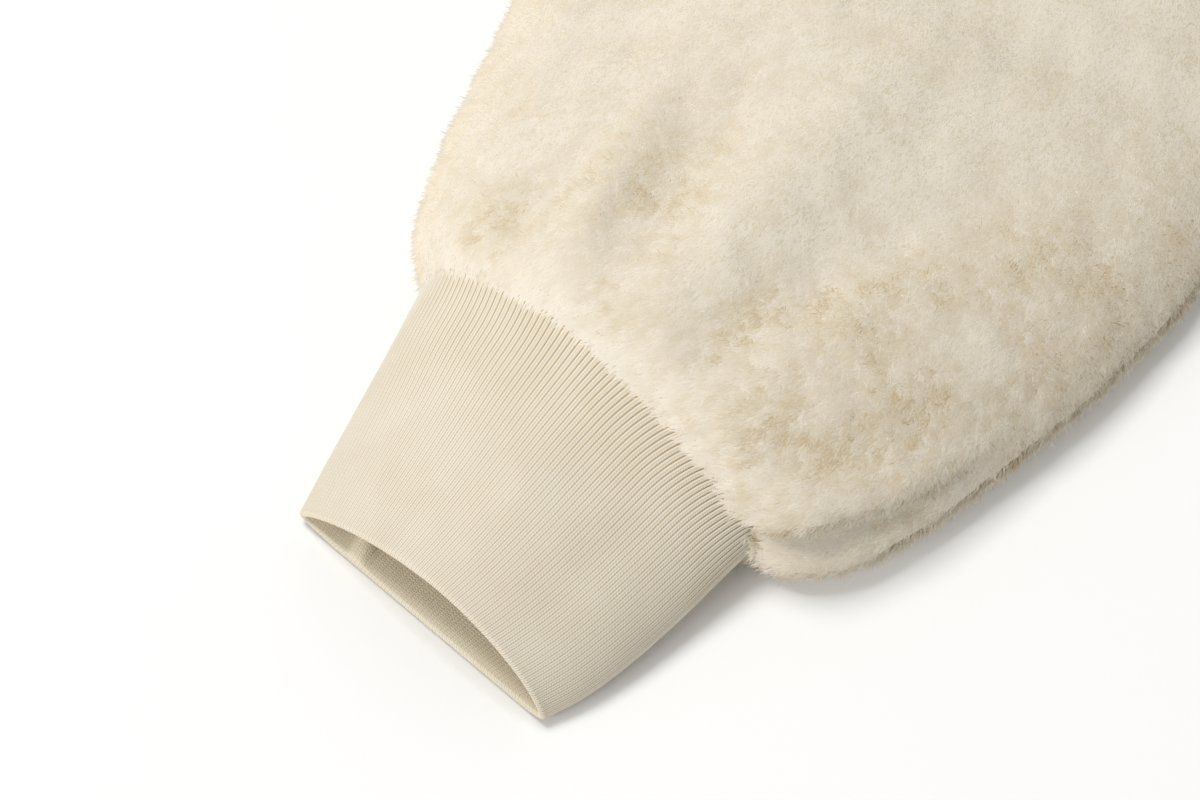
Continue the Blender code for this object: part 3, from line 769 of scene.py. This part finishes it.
def fibre_material():
    """Fibres whose map gives the tuft's tone across and the way to the tip upwards."""
    material, tree, shader = new_material("cream_pile_fibre")
    own = add_node(tree, "ShaderNodeUVMap", uv_map="OFBake")
    apart = add_node(tree, "ShaderNodeSeparateXYZ", [("Vector", own.outputs["UV"])])
    tones = add_node(tree, "ShaderNodeValToRGB", [("Fac", apart.outputs["X"])])
    # the warm end of the ramp is for open pile, which on the sleeves is partly its parting and partly
    # painted shade in the troughs
    set_ramp(tones, [(0.0, "#CFBA95"), (0.5, "#E1D5BF"), (1.0, "#F3ECDF")])
    # painted shade: towards its root a fibre is mixed with a warm middle tone, darker than most tips, since
    # fibres cast no shadows
    root = add_node(tree, "ShaderNodeMapRange", [
        ("Value", apart.outputs["Y"]), ("From Min", 0.0), ("From Max", 0.7),
        ("To Min", 0.35), ("To Max", 1.0),
    ])
    mixed = add_node(tree, "ShaderNodeMix", [
        (0, root.outputs[0]), (6, hex_colour("#DDD0B6")), (7, tones.outputs["Color"]),
    ], data_type="RGBA")
    colour = mixed.outputs[2]
    tree.links.new(colour, shader.inputs["Base Color"])
    side = add_node(tree, "ShaderNodeNewGeometry")
    turned = add_node(tree, "ShaderNodeVectorMath", [
        (0, side.outputs["Normal"]), ("Scale", -1.0),
    ], operation="SCALE")
    glow = add_node(tree, "ShaderNodeBsdfTranslucent", [("Color", colour), ("Normal", turned.outputs[0])])
    ahead = add_node(tree, "ShaderNodeMixShader", [
        (0, THROUGH), (1, shader.outputs["BSDF"]), (2, glow.outputs["BSDF"]),
    ])
    back_glow = add_node(tree, "ShaderNodeBsdfTranslucent", [("Color", colour)])
    back = add_node(tree, "ShaderNodeBsdfDiffuse", [("Color", colour), ("Normal", turned.outputs[0])])
    behind = add_node(tree, "ShaderNodeMixShader", [
        (0, THROUGH), (1, back_glow.outputs["BSDF"]), (2, back.outputs["BSDF"]),
    ])
    both = add_node(tree, "ShaderNodeMixShader", [
        (0, side.outputs["Backfacing"]), (1, ahead.outputs["Shader"]), (2, behind.outputs["Shader"]),
    ])
    tree.links.new(both.outputs["Shader"], tree.nodes["Material Output"].inputs["Surface"])
    shader.inputs["Roughness"].default_value = 0.8
    shader.inputs["Specular IOR Level"].default_value = 0.2
    shader.inputs["Sheen Weight"].default_value = 0.3
    shader.inputs["Sheen Roughness"].default_value = 0.4
    return material


PILE_FIBRE = fibre_material()
print("A fibre lets through", THROUGH, "of the light")

# %% [markdown]
# ## Fibres
# Each fibre is a narrow kite of two triangles: thin at its root, widest in the middle and
# pointed. It leans with the nap and towards the middle of its tuft, so that tips meet and small
# openings stay between tufts. Its shading normals follow the cloth beneath, because real pile
# scatters light as a mass and not as separate blades. For the same reason a fibre casts no
# shadow and takes no part in bounced light: the body beneath does both for all of them.
#
# Copies of one blade on a surface could do this too, but here each fibre has its own lean, and
# there are hundreds of thousands, so the kites are made from arrays in one mesh for each patch.

# %% Tufts
TUFT_SEED = 11


def cell_random(cells, seed):
    """Repeatable numbers from 0 to 1 for cells counted in whole numbers."""
    # large odd factors scramble the counts, so that neighbouring cells get unlike numbers
    mask = np.int64(0x7FFFFFFF)
    value = (cells[..., 0] * 73856093) ^ (cells[..., 1] * 19349663) ^ (cells[..., 2] * 83492791)
    value = (value + seed * 7919) & mask
    value = ((value ^ (value >> 15)) * 1103515245 + 12345) & mask
    value = ((value ^ (value >> 12)) * 69069 + 1) & mask
    return value / float(mask)


def nearest_tuft(points, size, seed):
    """The middle of the nearest tuft to each point, and that tuft's tone from 0 to 1."""
    base = np.floor(points / size).astype(np.int64)
    nearest = np.full(len(points), 1e9)
    middle = points.copy()
    tone = np.zeros(len(points))
    for dx in (-1, 0, 1):
        for dy in (-1, 0, 1):
            for dz in (-1, 0, 1):
                cell = base + (dx, dy, dz)
                shift = np.stack([cell_random(cell, seed + axis) for axis in range(3)], axis=-1)
                place = (cell + shift) * size
                apart = ((points - place) ** 2).sum(axis=1)
                closer = apart < nearest
                nearest = np.where(closer, apart, nearest)
                middle = np.where(closer[:, None], place, middle)
                tone = np.where(closer, cell_random(cell, seed + 3), tone)
    return middle, tone


# %% Roots of the fibres
# the nap's heading is read no closer to the seam than this many rows, where the wall turns in
STEADY_ROWS = 8


def scatter(points, normals, opens, weights, count, draw):
    """Random roots on a grid, even by area times weight, with normals, openness and the nap."""
    down = points[1:, :-1] - points[:-1, :-1]
    right = points[:-1, 1:] - points[:-1, :-1]
    area = np.linalg.norm(np.cross(down, right), axis=2) * weights[:-1, :-1]
    total = np.cumsum(area.ravel())
    pick = np.searchsorted(total, draw.random(count) * total[-1])
    row, column = np.unravel_index(np.minimum(pick, area.size - 1), area.shape)
    steady = np.minimum(row, len(down) - STEADY_ROWS)
    a, b = draw.random((2, count, 1))

    def blend(grid):
        near = grid[row, column] * (1 - b) + grid[row, column + 1] * b
        far = grid[row + 1, column] * (1 - b) + grid[row + 1, column + 1] * b
        return near * (1 - a) + far * a

    print("  area", round(total[-1] / 100), "cm2, fibres for each mm2:", round(count / total[-1], 2))
    return blend(points), unit(blend(normals)), blend(opens[..., None])[:, 0], unit(down[steady, column])


# %% Form of a fibre
# how far the tips of a tuft lean together, and how much single fibres stray
TUFT_PULL = 0.7
STRAY = 0.22
FLOOR_CLEAR = 0.25


def fibre_points(grown, gather, length, width, lean, draw):
    """Four points for each fibre: its root, the two sides of its middle and its tip."""
    roots, normals, opened, nap = grown
    count = len(roots)
    long = length * draw.uniform(0.75, 1.15, (count, 1))
    jitter = draw.normal(0.0, STRAY, (count, 3))
    # the lower half rises from the root, and the upper half lies over with the nap
    free = opened[:, None]
    low = unit(normals + nap * lean * (1.1 - 0.5 * free) + jitter)
    pull = gather / TUFT_MM * TUFT_PULL * (0.4 + 0.6 * free)
    high = unit(normals * (0.3 + 0.4 * free) + nap * lean + pull + jitter * 1.5)
    bend = roots + low * long * 0.5
    tip = bend + high * long * 0.5
    side = unit(np.cross(high, normals) + draw.normal(0.0, 0.12, (count, 3)))
    half = side * width * draw.uniform(0.35, 0.65, (count, 1))
    points = np.stack([roots, bend - half, bend + half, tip], axis=1)
    points[..., 2] = np.maximum(points[..., 2], FLOOR_CLEAR)
    return points


def kite_faces(points, outward):
    """Two triangles for each fibre, turned to face the way that the cloth does."""
    first = np.arange(len(points))[:, None] * 4
    faces = np.stack([first + (0, 2, 1), first + (1, 2, 3)], axis=1)
    corners = points.reshape(-1, 3)[faces]
    facing = np.cross(corners[:, :, 1] - corners[:, :, 0], corners[:, :, 2] - corners[:, :, 0])
    wrong = (facing * outward[:, None]).sum(axis=2) < 0
    faces[wrong] = faces[wrong][:, ::-1]
    return faces


def fibre_map(opened, tuft_tone, draw):
    """The tone across, pale to warm as the pile opens, and the way from root to tip upwards."""
    mottle = 0.7 * (tuft_tone - 0.5) + draw.normal(0.0, 0.16, len(opened))
    # the tone darkens as the pile opens; on the sleeves this is partly painted shade in the troughs
    shade = np.clip(0.88 - 0.56 * opened + mottle * (0.05 + 0.95 * opened), 0.02, 0.98)
    # a kite's two sides lie a little apart on the map, so that its faces have an area there
    across = np.clip(shade[:, None] + np.array([0.0, -0.01, 0.01, 0.0]), 0.0, 1.0)
    upwards = np.broadcast_to([0.0, 0.5, 0.5, 1.0], across.shape)
    return np.stack([across, upwards], axis=-1).reshape(-1, 2)


# %% A pile object
def pile_object(name, grown, length, width, lean, draw, mirror=False):
    """Fibres joined in one mesh, with shading normals that follow the cloth beneath."""
    roots, normals, opened = grown[:3]
    count = len(roots)
    flip = (-1, 1, 1) if mirror else (1, 1, 1)
    middle, tuft_tone = nearest_tuft(roots, TUFT_MM, TUFT_SEED)
    gather = middle - roots
    gather -= normals * (gather * normals).sum(axis=1, keepdims=True)
    points = fibre_points(grown, gather, length, width, lean, draw) * flip
    outward = normals * flip
    faces = kite_faces(points, outward)
    mesh = bpy.data.meshes.new(name)
    mesh.vertices.add(count * 4)
    mesh.vertices.foreach_set("co", (points * MM).astype(np.float32).ravel())
    mesh.loops.add(count * 6)
    mesh.loops.foreach_set("vertex_index", faces.astype(np.int32).ravel())
    mesh.polygons.add(count * 2)
    mesh.polygons.foreach_set("loop_start", np.arange(0, count * 6, 3, dtype=np.int32))
    mesh.update(calc_edges=True)
    layer = mesh.uv_layers.new(name="OFBake")
    own = fibre_map(opened, tuft_tone, draw)
    layer.data.foreach_set("uv", own[faces.ravel()].astype(np.float32).ravel())
    mesh.materials.append(PILE_FIBRE)
    mesh.shade_smooth()
    # normals never point below the horizon, and lean a little with the tuft's round top
    raised = outward * (1, 1, 0) + (0, 0, 1) * np.maximum(outward[:, 2:], 0.0)
    rounded = 0.2 * opened[:, None] * (gather * flip / TUFT_MM)
    soft = unit(0.7 * raised + (0.0, 0.0, 0.3) - rounded + draw.normal(0.0, 0.02, (count, 3)))
    mesh.normals_split_custom_set_from_vertices(np.repeat(soft, 4, axis=0).astype(np.float32))
    made = bpy.data.objects.new(name, mesh)
    made.visible_shadow = False
    made.visible_diffuse = False
    scene.collection.objects.link(made)
    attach(made, "root")
    print(name, count * 2, "triangles")
    return made


# %% [markdown]
# ## Sleeves
# A full sleeve is gathered into its cuff. Its wall runs down the outside from the armhole,
# rounds over at the seam where the pile laps onto the rib, and goes back up the inside. The
# pile's body stops short of the tips, and the fibres stand on it. Low on the inner side the
# sleeve sags over itself and makes one deep crease along its edge, which is pushed in there.

# %% The deep crease
PILE_SINK = 2.3
PLUSH_WALL = 8.0
# rows of the table, and the crease's height and depth there in millimetres
CREASE_ROWS = (0.0, 0.35, 1.3, 1.8, 2.4, 2.75, 3.15, 3.6, 4.2)
CREASE_HIGH = (20.0, 17.2, 18.6, 18.6, 18.3, 17.7, 16.8, 16.6, 17.0)
CREASE_DEEP = (3.5, 6.5, 8.0, 7.5, 6.0, 4.8, 3.2, 1.6, 0.0)
# how far the cloth on each side of the crease bulges, as a share of its depth
CREASE_BULGE = 0.36


def crease_shift(places, heights, turns):
    """How far the sleeve's inner side moves out at each point: in at the crease, out beside it."""
    middle = np.interp(places, CREASE_ROWS, CREASE_HIGH)[:, None]
    deep = np.interp(places, CREASE_ROWS, CREASE_DEEP)[:, None]
    shift = -deep * np.exp(-((heights - middle) / 4.5) ** 2)
    shift += CREASE_BULGE * deep * np.exp(-((heights - middle - 11.0) / 7.0) ** 2)
    shift += CREASE_BULGE * deep * np.exp(-((heights - middle + 9.5) / 5.0) ** 2)
    return np.where((turns > 0.3) & (turns < 0.56), shift, 0.0)


# %% Points of a sleeve
# where the pile laps onto the rib, as a share of the cuff's length
LAP_AT = 0.955
# counts for the sleeve in the picture and for the other one: rows above and near the cuff,
# rows inside, and points over the top and underneath
FINE_COUNTS = (42, 96, 16, 128, 40)
PLAIN_COUNTS = (16, 34, 10, 60, 20)


def sleeve_grid(counts):
    """The wall's points and turns in rows from the armhole, and how many rows are outside."""
    upper, lower, within, over, below = counts
    # places are rows of the sleeve's table: 9 at the armhole and 0 next to the cuff
    places = np.concatenate([np.linspace(9.0, 5.6, upper), np.linspace(5.55, 0.0, lower)])
    inner_places = np.linspace(0.3, 9.0, within)
    outer = grow(smooth_rows(SLEEVE, places), -PILE_SINK, -PILE_SINK, 0.4)
    inner = grow(smooth_rows(SLEEVE, inner_places), -PLUSH_WALL, -PLUSH_WALL)
    cuff_end = len(CUFF) - 1
    lip = grow(smooth_rows(CUFF, [LAP_AT * cuff_end]), 0.9, 2.6, 0.4)
    tuck = grow(smooth_rows(CUFF, [LAP_AT * cuff_end]), 0.45, 0.45, 0.4)
    seam = grow(smooth_rows(CUFF, [1.0 * cuff_end]), -3.0, -3.0)
    parts = np.linspace(0.0, 1.0, 6)[1:, None]
    rounding = outer[-1] + (lip[0] - outer[-1]) * parts
    rounding[:, CROWN] += 1.2 * np.sin(np.pi * parts[:, 0])
    tucking = lip[0] + (tuck[0] - lip[0]) * np.linspace(0.0, 1.0, 4)[1:, None]
    rows = np.concatenate([outer, rounding, tucking, seam, inner])
    top = even_turns(rows, np.linspace(0, 1, over + 1)[:-1])
    under = even_turns(rows, np.linspace(0, 1, below + 1)[:-1], half=1)
    turns = np.concatenate([top, under], axis=1)
    points = section_points(rows, turns)
    # folds and crease die away between the sleeve's last row and the seam
    turned = len(rounding) + len(tucking)
    near = np.ones(len(rows))
    near[len(outer):len(outer) + turned] = np.linspace(1.0, 0.2, turned)
    near[len(outer) + turned] = 0.0
    share = np.where(turns < 0.5, np.abs(np.sin(2 * np.pi * turns)) ** 0.7, 0.0)
    lift = share * fold_lift(SLEEVE_FOLDS, points[..., 0], points[..., 1]) * near[:, None]
    row_places = np.concatenate([places, np.zeros(turned + 1), inner_places])
    shift = crease_shift(row_places, points[..., 2], turns) * near[:, None]
    sideways = unit(rows[:, INNER] - rows[:, OUTER])
    points[..., :2] += sideways[:, None] * shift[..., None]
    points[..., 2] += lift
    return points, turns, len(outer) + len(rounding)


def bumpy(points, shown, flat):
    """The pile body's outer rows with soft tufts and hollows, but not where it lies flat."""
    # tufts 5 mm wide stand out by about 0.1 mm, and hollows 14 mm wide sink by about 0.16 mm
    raised = points.copy()
    bumps = 0.10 * soft_noise(points[:shown], 5.0, 3) + 0.16 * soft_noise(points[:shown], 14.0, 4)
    bumps = np.where(flat[:shown], 0.0, bumps)
    bumps *= np.clip((shown - 1 - np.arange(shown)) / 4, 0, 1)[:, None]
    raised[:shown] += grid_normals(points)[:shown] * bumps[..., None]
    raised[..., 2] = np.maximum(raised[..., 2], 0.3)
    return raised


# %% Sleeves and their pile
# the last rows turn in under the lap, and their fibres stand as those of the row before do
LAP_ROWS = 9
# the picture shows the sleeve left of and below these places, and the pile is finest there
CLOSE_X = -318
CLOSE_Y = -22
CLOSE_FADE = 25


def sleeve_openness_and_shade(outer, shown):
    """How far the pile stands open and is painted darker, by the strokes, with unevenness, and less near
    the lap; along the troughs the darker tone is partly painted shade.
    """
    opens = 0.12 + fold_lift(OPEN_AND_SHADED_PILE, outer[..., 0], outer[..., 1])
    opens += (0.04 + 0.16 * opens) * (soft_noise(outer, 24.0, 8) + soft_noise(outer, 8.0, 9))
    lap = np.clip((shown - 4 - np.arange(shown)) / 12, 0.6, 1)
    return np.clip(opens, 0.03, 1.0) * lap[:, None]


piles = {}
draw = np.random.default_rng(20)
for word, mirror in (("right", False), ("left", True)):
    points, turns, shown = sleeve_grid(PLAIN_COUNTS if mirror else FINE_COUNTS)
    hidden = (turns > 0.57) & (turns < 0.93)
    wall = bumpy(points, shown, hidden)
    cloth_object("sleeve_plush_" + word, wall, PILE_BODY, mirror=mirror)
    outer, normals = wall[:shown], grid_normals(wall)[:shown]
    normals[-LAP_ROWS:] = normals[-LAP_ROWS - 1]
    opens = sleeve_openness_and_shade(outer, shown)
    grows = np.where(hidden[:shown], 0.0, 1.0)
    grows[-1:] = 0.0
    close = np.clip((CLOSE_X - outer[..., 0]) / CLOSE_FADE, 0, 1)
    close *= np.clip((CLOSE_Y - outer[..., 1]) / CLOSE_FADE, 0, 1)
    # columns: patch, where it grows, number of fibres, their length and their width in mm
    patches = [
        ("near", close, 95000, 4.6, 0.42),
        ("close", close, 95000, 4.2, 0.42),
        ("far", 1 - close, 26000, 5.2, 1.5),
    ]
    if mirror:
        patches = [("all", np.ones_like(close), 32000, 5.2, 1.5)]
    piles[word] = []
    for label, weight, count, length, width in patches:
        grown = scatter(outer, normals, opens, weight * grows, count, draw)
        name = "sleeve_pile_" + word + "_" + label
        piles[word].append(pile_object(name, grown, length, width, 1.0, draw, mirror=mirror))

# %% [markdown]
# ## Body panels
# The front and the back are cut alike but for the neck, and lie on each other. Each is a grid
# moved to the outline of the cut, whose edges round down to the seams. A panel could be cut from
# a flat face and given a thickness, but a grid keeps even rows for the folds and the fibres. The
# rows go over the top and come back underneath, and a last row at each end closes the panel.

# %% Panel outline
SHOULDER = (290.0, 242.5)
NECK_POINT = (95.0, 317.5)
NECK_GAP = 0.7
UNDERARM = (305.0, -27.5)
HEM_SEAM = (272.0, -272.5)


def side_x(y):
    """Half width of the body: a straight armhole, then a side seam."""
    up = UNDERARM[0] + (SHOULDER[0] - UNDERARM[0]) * (y - UNDERARM[1]) / (SHOULDER[1] - UNDERARM[1])
    down = UNDERARM[0] + (HEM_SEAM[0] - UNDERARM[0]) * (UNDERARM[1] - y) / (UNDERARM[1] - HEM_SEAM[1])
    return np.where(y > UNDERARM[1], up, down)


def top_y(x, neck_drop):
    """Top edge of a panel: the neck's curve, then the shoulder's slope."""
    neck_x = NECK_POINT[0] + NECK_GAP
    curve = NECK_POINT[1] - (neck_drop + NECK_GAP) * np.sqrt(np.clip(1 - (x / neck_x) ** 2, 0, 1))
    slope = (np.abs(x) - neck_x) / (SHOULDER[0] - neck_x)
    return np.where(np.abs(x) < neck_x, curve, NECK_POINT[1] + (SHOULDER[1] - NECK_POINT[1]) * slope)


print("Width at the underarms:", 2 * UNDERARM[0], "mm, and at the hem:", 2 * HEM_SEAM[0], "mm")


# %% Grid of a panel
def panel_grid(neck_drop, low, height_at, counts):
    """A closed panel in rows from its top edge to the hem, and how many columns are on top."""
    # counts: columns for half the neck and for a shoulder, and rows
    neck_count, shoulder_count, row_count = counts
    neck_x = NECK_POINT[0] + NECK_GAP
    curve = neck_x * np.sin(np.linspace(0, np.pi / 2, neck_count))
    spread = 1 - (1 - np.linspace(0.0, 1.0, shoulder_count)) ** 1.4
    half = np.concatenate([curve, neck_x + (SHOULDER[0] - neck_x) * spread[1:]])
    column = np.concatenate([-half[:0:-1], half])
    # rows stand closer together at both ends, where the panel rounds down
    crowded = 0.5 - 0.5 * np.cos(np.linspace(0, np.pi, row_count))
    along = 0.6 * np.linspace(1.0, 0.0, row_count) + 0.4 * crowded[::-1]
    edge_y = top_y(column, neck_drop)
    y = HEM_SEAM[1] + (edge_y - HEM_SEAM[1]) * along[:, None]
    straight = HEM_SEAM[1] + (SHOULDER[1] - HEM_SEAM[1]) * along
    x = column * (side_x(straight) / SHOULDER[0])[:, None]
    span = edge_y - HEM_SEAM[1]
    from_ends = np.minimum(along[:, None] * span, (1 - along[:, None]) * span)
    inside = np.minimum(SHOULDER[0] - np.abs(column), from_ends)
    top = np.stack([x, y, height_at(x, y, np.maximum(inside, 0))], axis=-1)
    under = top[:, ::-1].copy()
    under[..., 2] = low
    wall = top[:, -1:] * 0.5 + under[:, :1] * 0.5
    other = top[:, :1] * 0.5 + under[:, -1:] * 0.5
    rows = np.concatenate([top, wall, under, other], axis=1)
    first, last = rows[:1].copy(), rows[-1:].copy()
    first[..., 2] = last[..., 2] = low
    return np.concatenate([first, rows, last]), len(column)


# %% [markdown]
# ## Front panel
# The front is a pile body like the sleeve's that rounds down to its seams, with low folds where
# it is lain down. Its fibres are broader and fewer than those by the cuff, because it is seen
# from further off, and a mesh of too many faces is slow to open for whoever uses it.

# %% Front
FRONT_LOW = 8.2
FRONT_HIGH = 17.8
FRONT_EDGE = 11.0
EDGE_ROUND = 11.0
FRONT_NECK_DROP = 95.0
FRONT_FIBRES = 62000


def front_height(x, y, inside):
    """Height of the front's pile body, rounding down to its seams."""
    rounded = np.sqrt(1 - (1 - np.minimum(inside / EDGE_ROUND, 1)) ** 2)
    high = FRONT_HIGH - PILE_SINK + fold_lift(FRONT_FOLDS, -np.abs(x), y)
    return FRONT_EDGE + (high - FRONT_EDGE) * rounded


points, top_columns = panel_grid(FRONT_NECK_DROP, FRONT_LOW, front_height, (16, 30, 96))
points[1:-1, :top_columns, 2] += 0.6 * soft_noise(points[1:-1, :top_columns], 14.0, 5)
front = cloth_object("front_plush", points, PILE_BODY, wrap_rows=False)
outer = np.concatenate([points[:, -1:], points[:, :top_columns + 1]], axis=1)
opens = 0.34 + 0.10 * soft_noise(outer, 60.0, 12) + 0.09 * soft_noise(outer, 12.0, 13)
opens = np.clip(opens, 0.05, 1)
normals = grid_normals(outer, closed=False)
grown = scatter(outer, normals, opens, np.ones_like(opens), FRONT_FIBRES, draw)
piles["front"] = [pile_object("front_pile", grown, 5.4, 2.0, 1.0, draw)]

# %% [markdown]
# ## Back panel
# The back lies under the front with its wrong side up, so the neck opening shows the knitted
# backing that the pile grows from, and only a rim of pile shows along each side. The backing is
# the rib pattern again with flatter tones and a stronger grain. In the neck its columns come out
# 2 to 3 mm wide, which is coarser than real, so that they still show in the picture.

# %% Back
PANEL_THICK = 7.8
BACK_WAVE = 0.25
BACK_NECK_DROP = 20.0
# the map's millimetres round the whole panel, and those for one column
BACKING_ROUND = 600.0
BACKING_RIB = 1.6
# the map counts only to 36 along the panel, because past that the rib's grooves stand open
BACKING_LONG = 36.0
EDGE_FIBRES = 4000


def back_height(x, y, inside):
    """Height of the back's plain inner face, with the soft waves of a panel that is lain on."""
    flat = np.stack([x, y, np.zeros_like(x)], axis=-1)
    return PANEL_THICK - BACK_WAVE + BACK_WAVE * np.clip(soft_noise(flat, 60.0, 6), -1, 1)


# painted shade: the backing's grooves are darker, as the rib's are
BACKING = rib_material("cream_knit_backing", "#D6CDBA", "#B7A585", 0.5)
points, top_columns = panel_grid(BACK_NECK_DROP, 0.3, back_height, (16, 12, 30))
columns = np.linspace(0.0, BACKING_ROUND, points.shape[1] + 1) / BACKING_RIB
uv = np.stack(np.meshgrid(columns, np.linspace(0.0, BACKING_LONG, len(points))), axis=-1)
back = cloth_object("back_plush", points, BACKING, uv, wrap_rows=False)
piles["back"] = []
# columns: side, the way that its edge faces along X, and the edge's points
edges = (
    ("left", 1.0, points[:, top_columns - 1:top_columns + 2]),
    ("right", -1.0, points[:, [-2, -1, 0]]),
)
for label, way, edge in edges:
    normals = np.zeros_like(edge)
    normals[..., 0] = way
    opens = np.full(edge.shape[:2], 0.5)
    grown = scatter(edge, normals, opens, np.ones_like(opens), EDGE_FIBRES, draw)
    piles["back"].append(pile_object("back_pile_" + label, grown, 4.0, 1.4, 0.8, draw))

# %% [markdown]
# ## Neckband
# The neckband is the same rib as the cuffs, folded double, and a closed loop: its front half lies
# on the back panel with its outside up, and its back half lies on the floor with its inside up.
# It could be swept along a curve, but a sweep would twist where the loop turns over at the
# sides. So it is built row by row from the seam over the fold, and the knit's map follows it.

# %% Neckband
# heights of the trims' ribs and depths of their grooves in millimetres
TRIM_HIGH = 0.2
TRIM_DEEP = 0.4
NECK_RIBS = 165
NECK_BACK_RIBS = 112
NECK_PER_RIB = 4
NECK_TOP = 12.4
NECK_LAYER = 4.2
NECK_LONG = 24
# where the fold starts, as a share of the band's width, and how far it reaches past that
FOLD_FROM = 0.92
FOLD_REACH = 1.9
# at the seam and at the fold: half width, Y of the sides, drop in front and drop behind
NECK_SIZES = np.array([(95.0, 317.5, 95.0, 20.0), (80.0, 337.5, 92.0, 16.0)])


def neck_row(part, sunk, ahead):
    """One row of the neckband: part 0 is its seam and 1 its fold, sunk is how deep in its wall."""
    half, side_y, front_drop, back_drop = NECK_SIZES[0] + (NECK_SIZES[1] - NECK_SIZES[0]) * part
    half -= ahead
    side_y += ahead
    front = np.pi * np.arange(NECK_RIBS * NECK_PER_RIB) / (NECK_RIBS * NECK_PER_RIB)
    rear = np.pi * np.arange(NECK_BACK_RIBS * NECK_PER_RIB) / (NECK_BACK_RIBS * NECK_PER_RIB)
    high = NECK_TOP - sunk
    top = np.stack([
        -half * np.cos(front), side_y - front_drop * np.sin(front), np.full_like(front, high),
    ], axis=1)
    low = np.stack([
        half * np.cos(rear), side_y - back_drop * np.sin(rear), np.full_like(rear, sunk),
    ], axis=1)
    # three points at each side go down from the front half to the back half
    drop = np.linspace(high, sunk, 5)[1:4, None]
    right = np.concatenate([np.repeat([[half - 0.5 * sunk, side_y]], 3, axis=0), drop], axis=1)
    left = right * (-1, 1, 1)
    left[:, 2] = drop[::-1, 0]
    return np.concatenate([top, right, low, left])


# marks count millimetres from the fold, and are below zero on the inner layer
rows = []
marks = []
for part in np.linspace(0.0, FOLD_FROM, 8):
    rows.append(neck_row(part, 0.0, 0.0))
    marks.append(NECK_LONG * (1 - part))
for part in np.linspace(0.0, 1.0, 7)[1:-1]:
    sunk = NECK_LAYER / 2 * (1 - np.cos(np.pi * part))
    rows.append(neck_row(FOLD_FROM, sunk, FOLD_REACH * np.sin(np.pi * part)))
    marks.append(2 * (0.5 - part))
for part in np.linspace(FOLD_FROM, 0.0, 8):
    rows.append(neck_row(part, NECK_LAYER, 0.0))
    marks.append(-NECK_LONG * (1 - part) - 1)
points = np.array(rows)
marks = np.array(marks)
ribs = np.concatenate([
    np.arange(NECK_RIBS * NECK_PER_RIB) / NECK_PER_RIB, np.full(3, NECK_RIBS),
    NECK_RIBS + np.arange(NECK_BACK_RIBS * NECK_PER_RIB) / NECK_PER_RIB,
    np.full(3, NECK_RIBS + NECK_BACK_RIBS),
])
# the ribs are raised only on the side that lies up: outside in front, and inside behind
shows = np.where(ribs < NECK_RIBS, marks[:, None] > 0, marks[:, None] < 0)
points[..., 2] += np.where(shows, TRIM_HIGH - TRIM_DEEP * groove(ribs, 0.0, 0.2), 0.0)
points[..., 2] = np.maximum(points[..., 2], 0.0)
neckband = cloth_object(
    "neckband_rib", points, RIB_KNIT, rib_map(ribs, marks, NECK_RIBS + NECK_BACK_RIBS, -26.0),
)

# %% [markdown]
# ## Hem band
# The hem band is a tube of doubled rib as wide as the body, and its front covers its back. It is
# a band as a cuff is, so the same helpers make it, with a nearly flat top and soft waves where
# the rib draws the body in.

# %% Hem band
HEM_RIBS = 302
# the underside lies on the floor, so a few wide ribs are enough there
HEM_UNDER_RIBS = 20
HEM_WALL = 3.4
HEM_LONG = 65.0
# its fold and its seam, with the columns of the sleeve's table
HEM = np.array([
    (-262.0, -337.5, 262.0, -337.5, 8.8, 0.0, 4.4, 4.4, 1.0, 0.12),
    (-272.0, -273.0, 272.0, -273.0, 10.4, 0.0, 4.4, 4.4, 1.0, 0.12),
])
points, ribs, marks = band_grid(
    HEM, HEM_WALL, HEM_LONG, HEM_RIBS, HEM_UNDER_RIBS, per_rib=4, counts=(11, 4, 4),
)
over = ribs < HEM_RIBS
waves = 0.5 * soft_noise(points * (1.0, 0.35, 0.0), 34.0, 15)
points[..., 2] += np.where(over & (marks[:, None] > 2), np.clip(waves, -0.6, 0.6), 0.0)
relief = (TRIM_HIGH - TRIM_DEEP * groove(ribs, 0.0, 0.2)) * (over & (marks > 0)[:, None])
points = push_out(points, relief)
points[..., 2] = np.maximum(points[..., 2], 0.0)
uv = rib_map(ribs, marks, HEM_RIBS + HEM_UNDER_RIBS, -HEM_LONG - HEM_WALL)
hem = cloth_object("hem_band_rib", points, RIB_KNIT, uv)

# %% [markdown]
# ## The solids hidden
# Every piece takes the place of its solid, which is hidden so that only the cloth shows.

# %% Hiding the solids
for word in ("right", "left"):
    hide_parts("sleeve_" + word)
    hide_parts("cuff_" + word)
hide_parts("front")
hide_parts("back")
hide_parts("neckband")
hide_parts("hem_band")
print("Pieces of pile:", sum(len(group) for group in piles.values()))
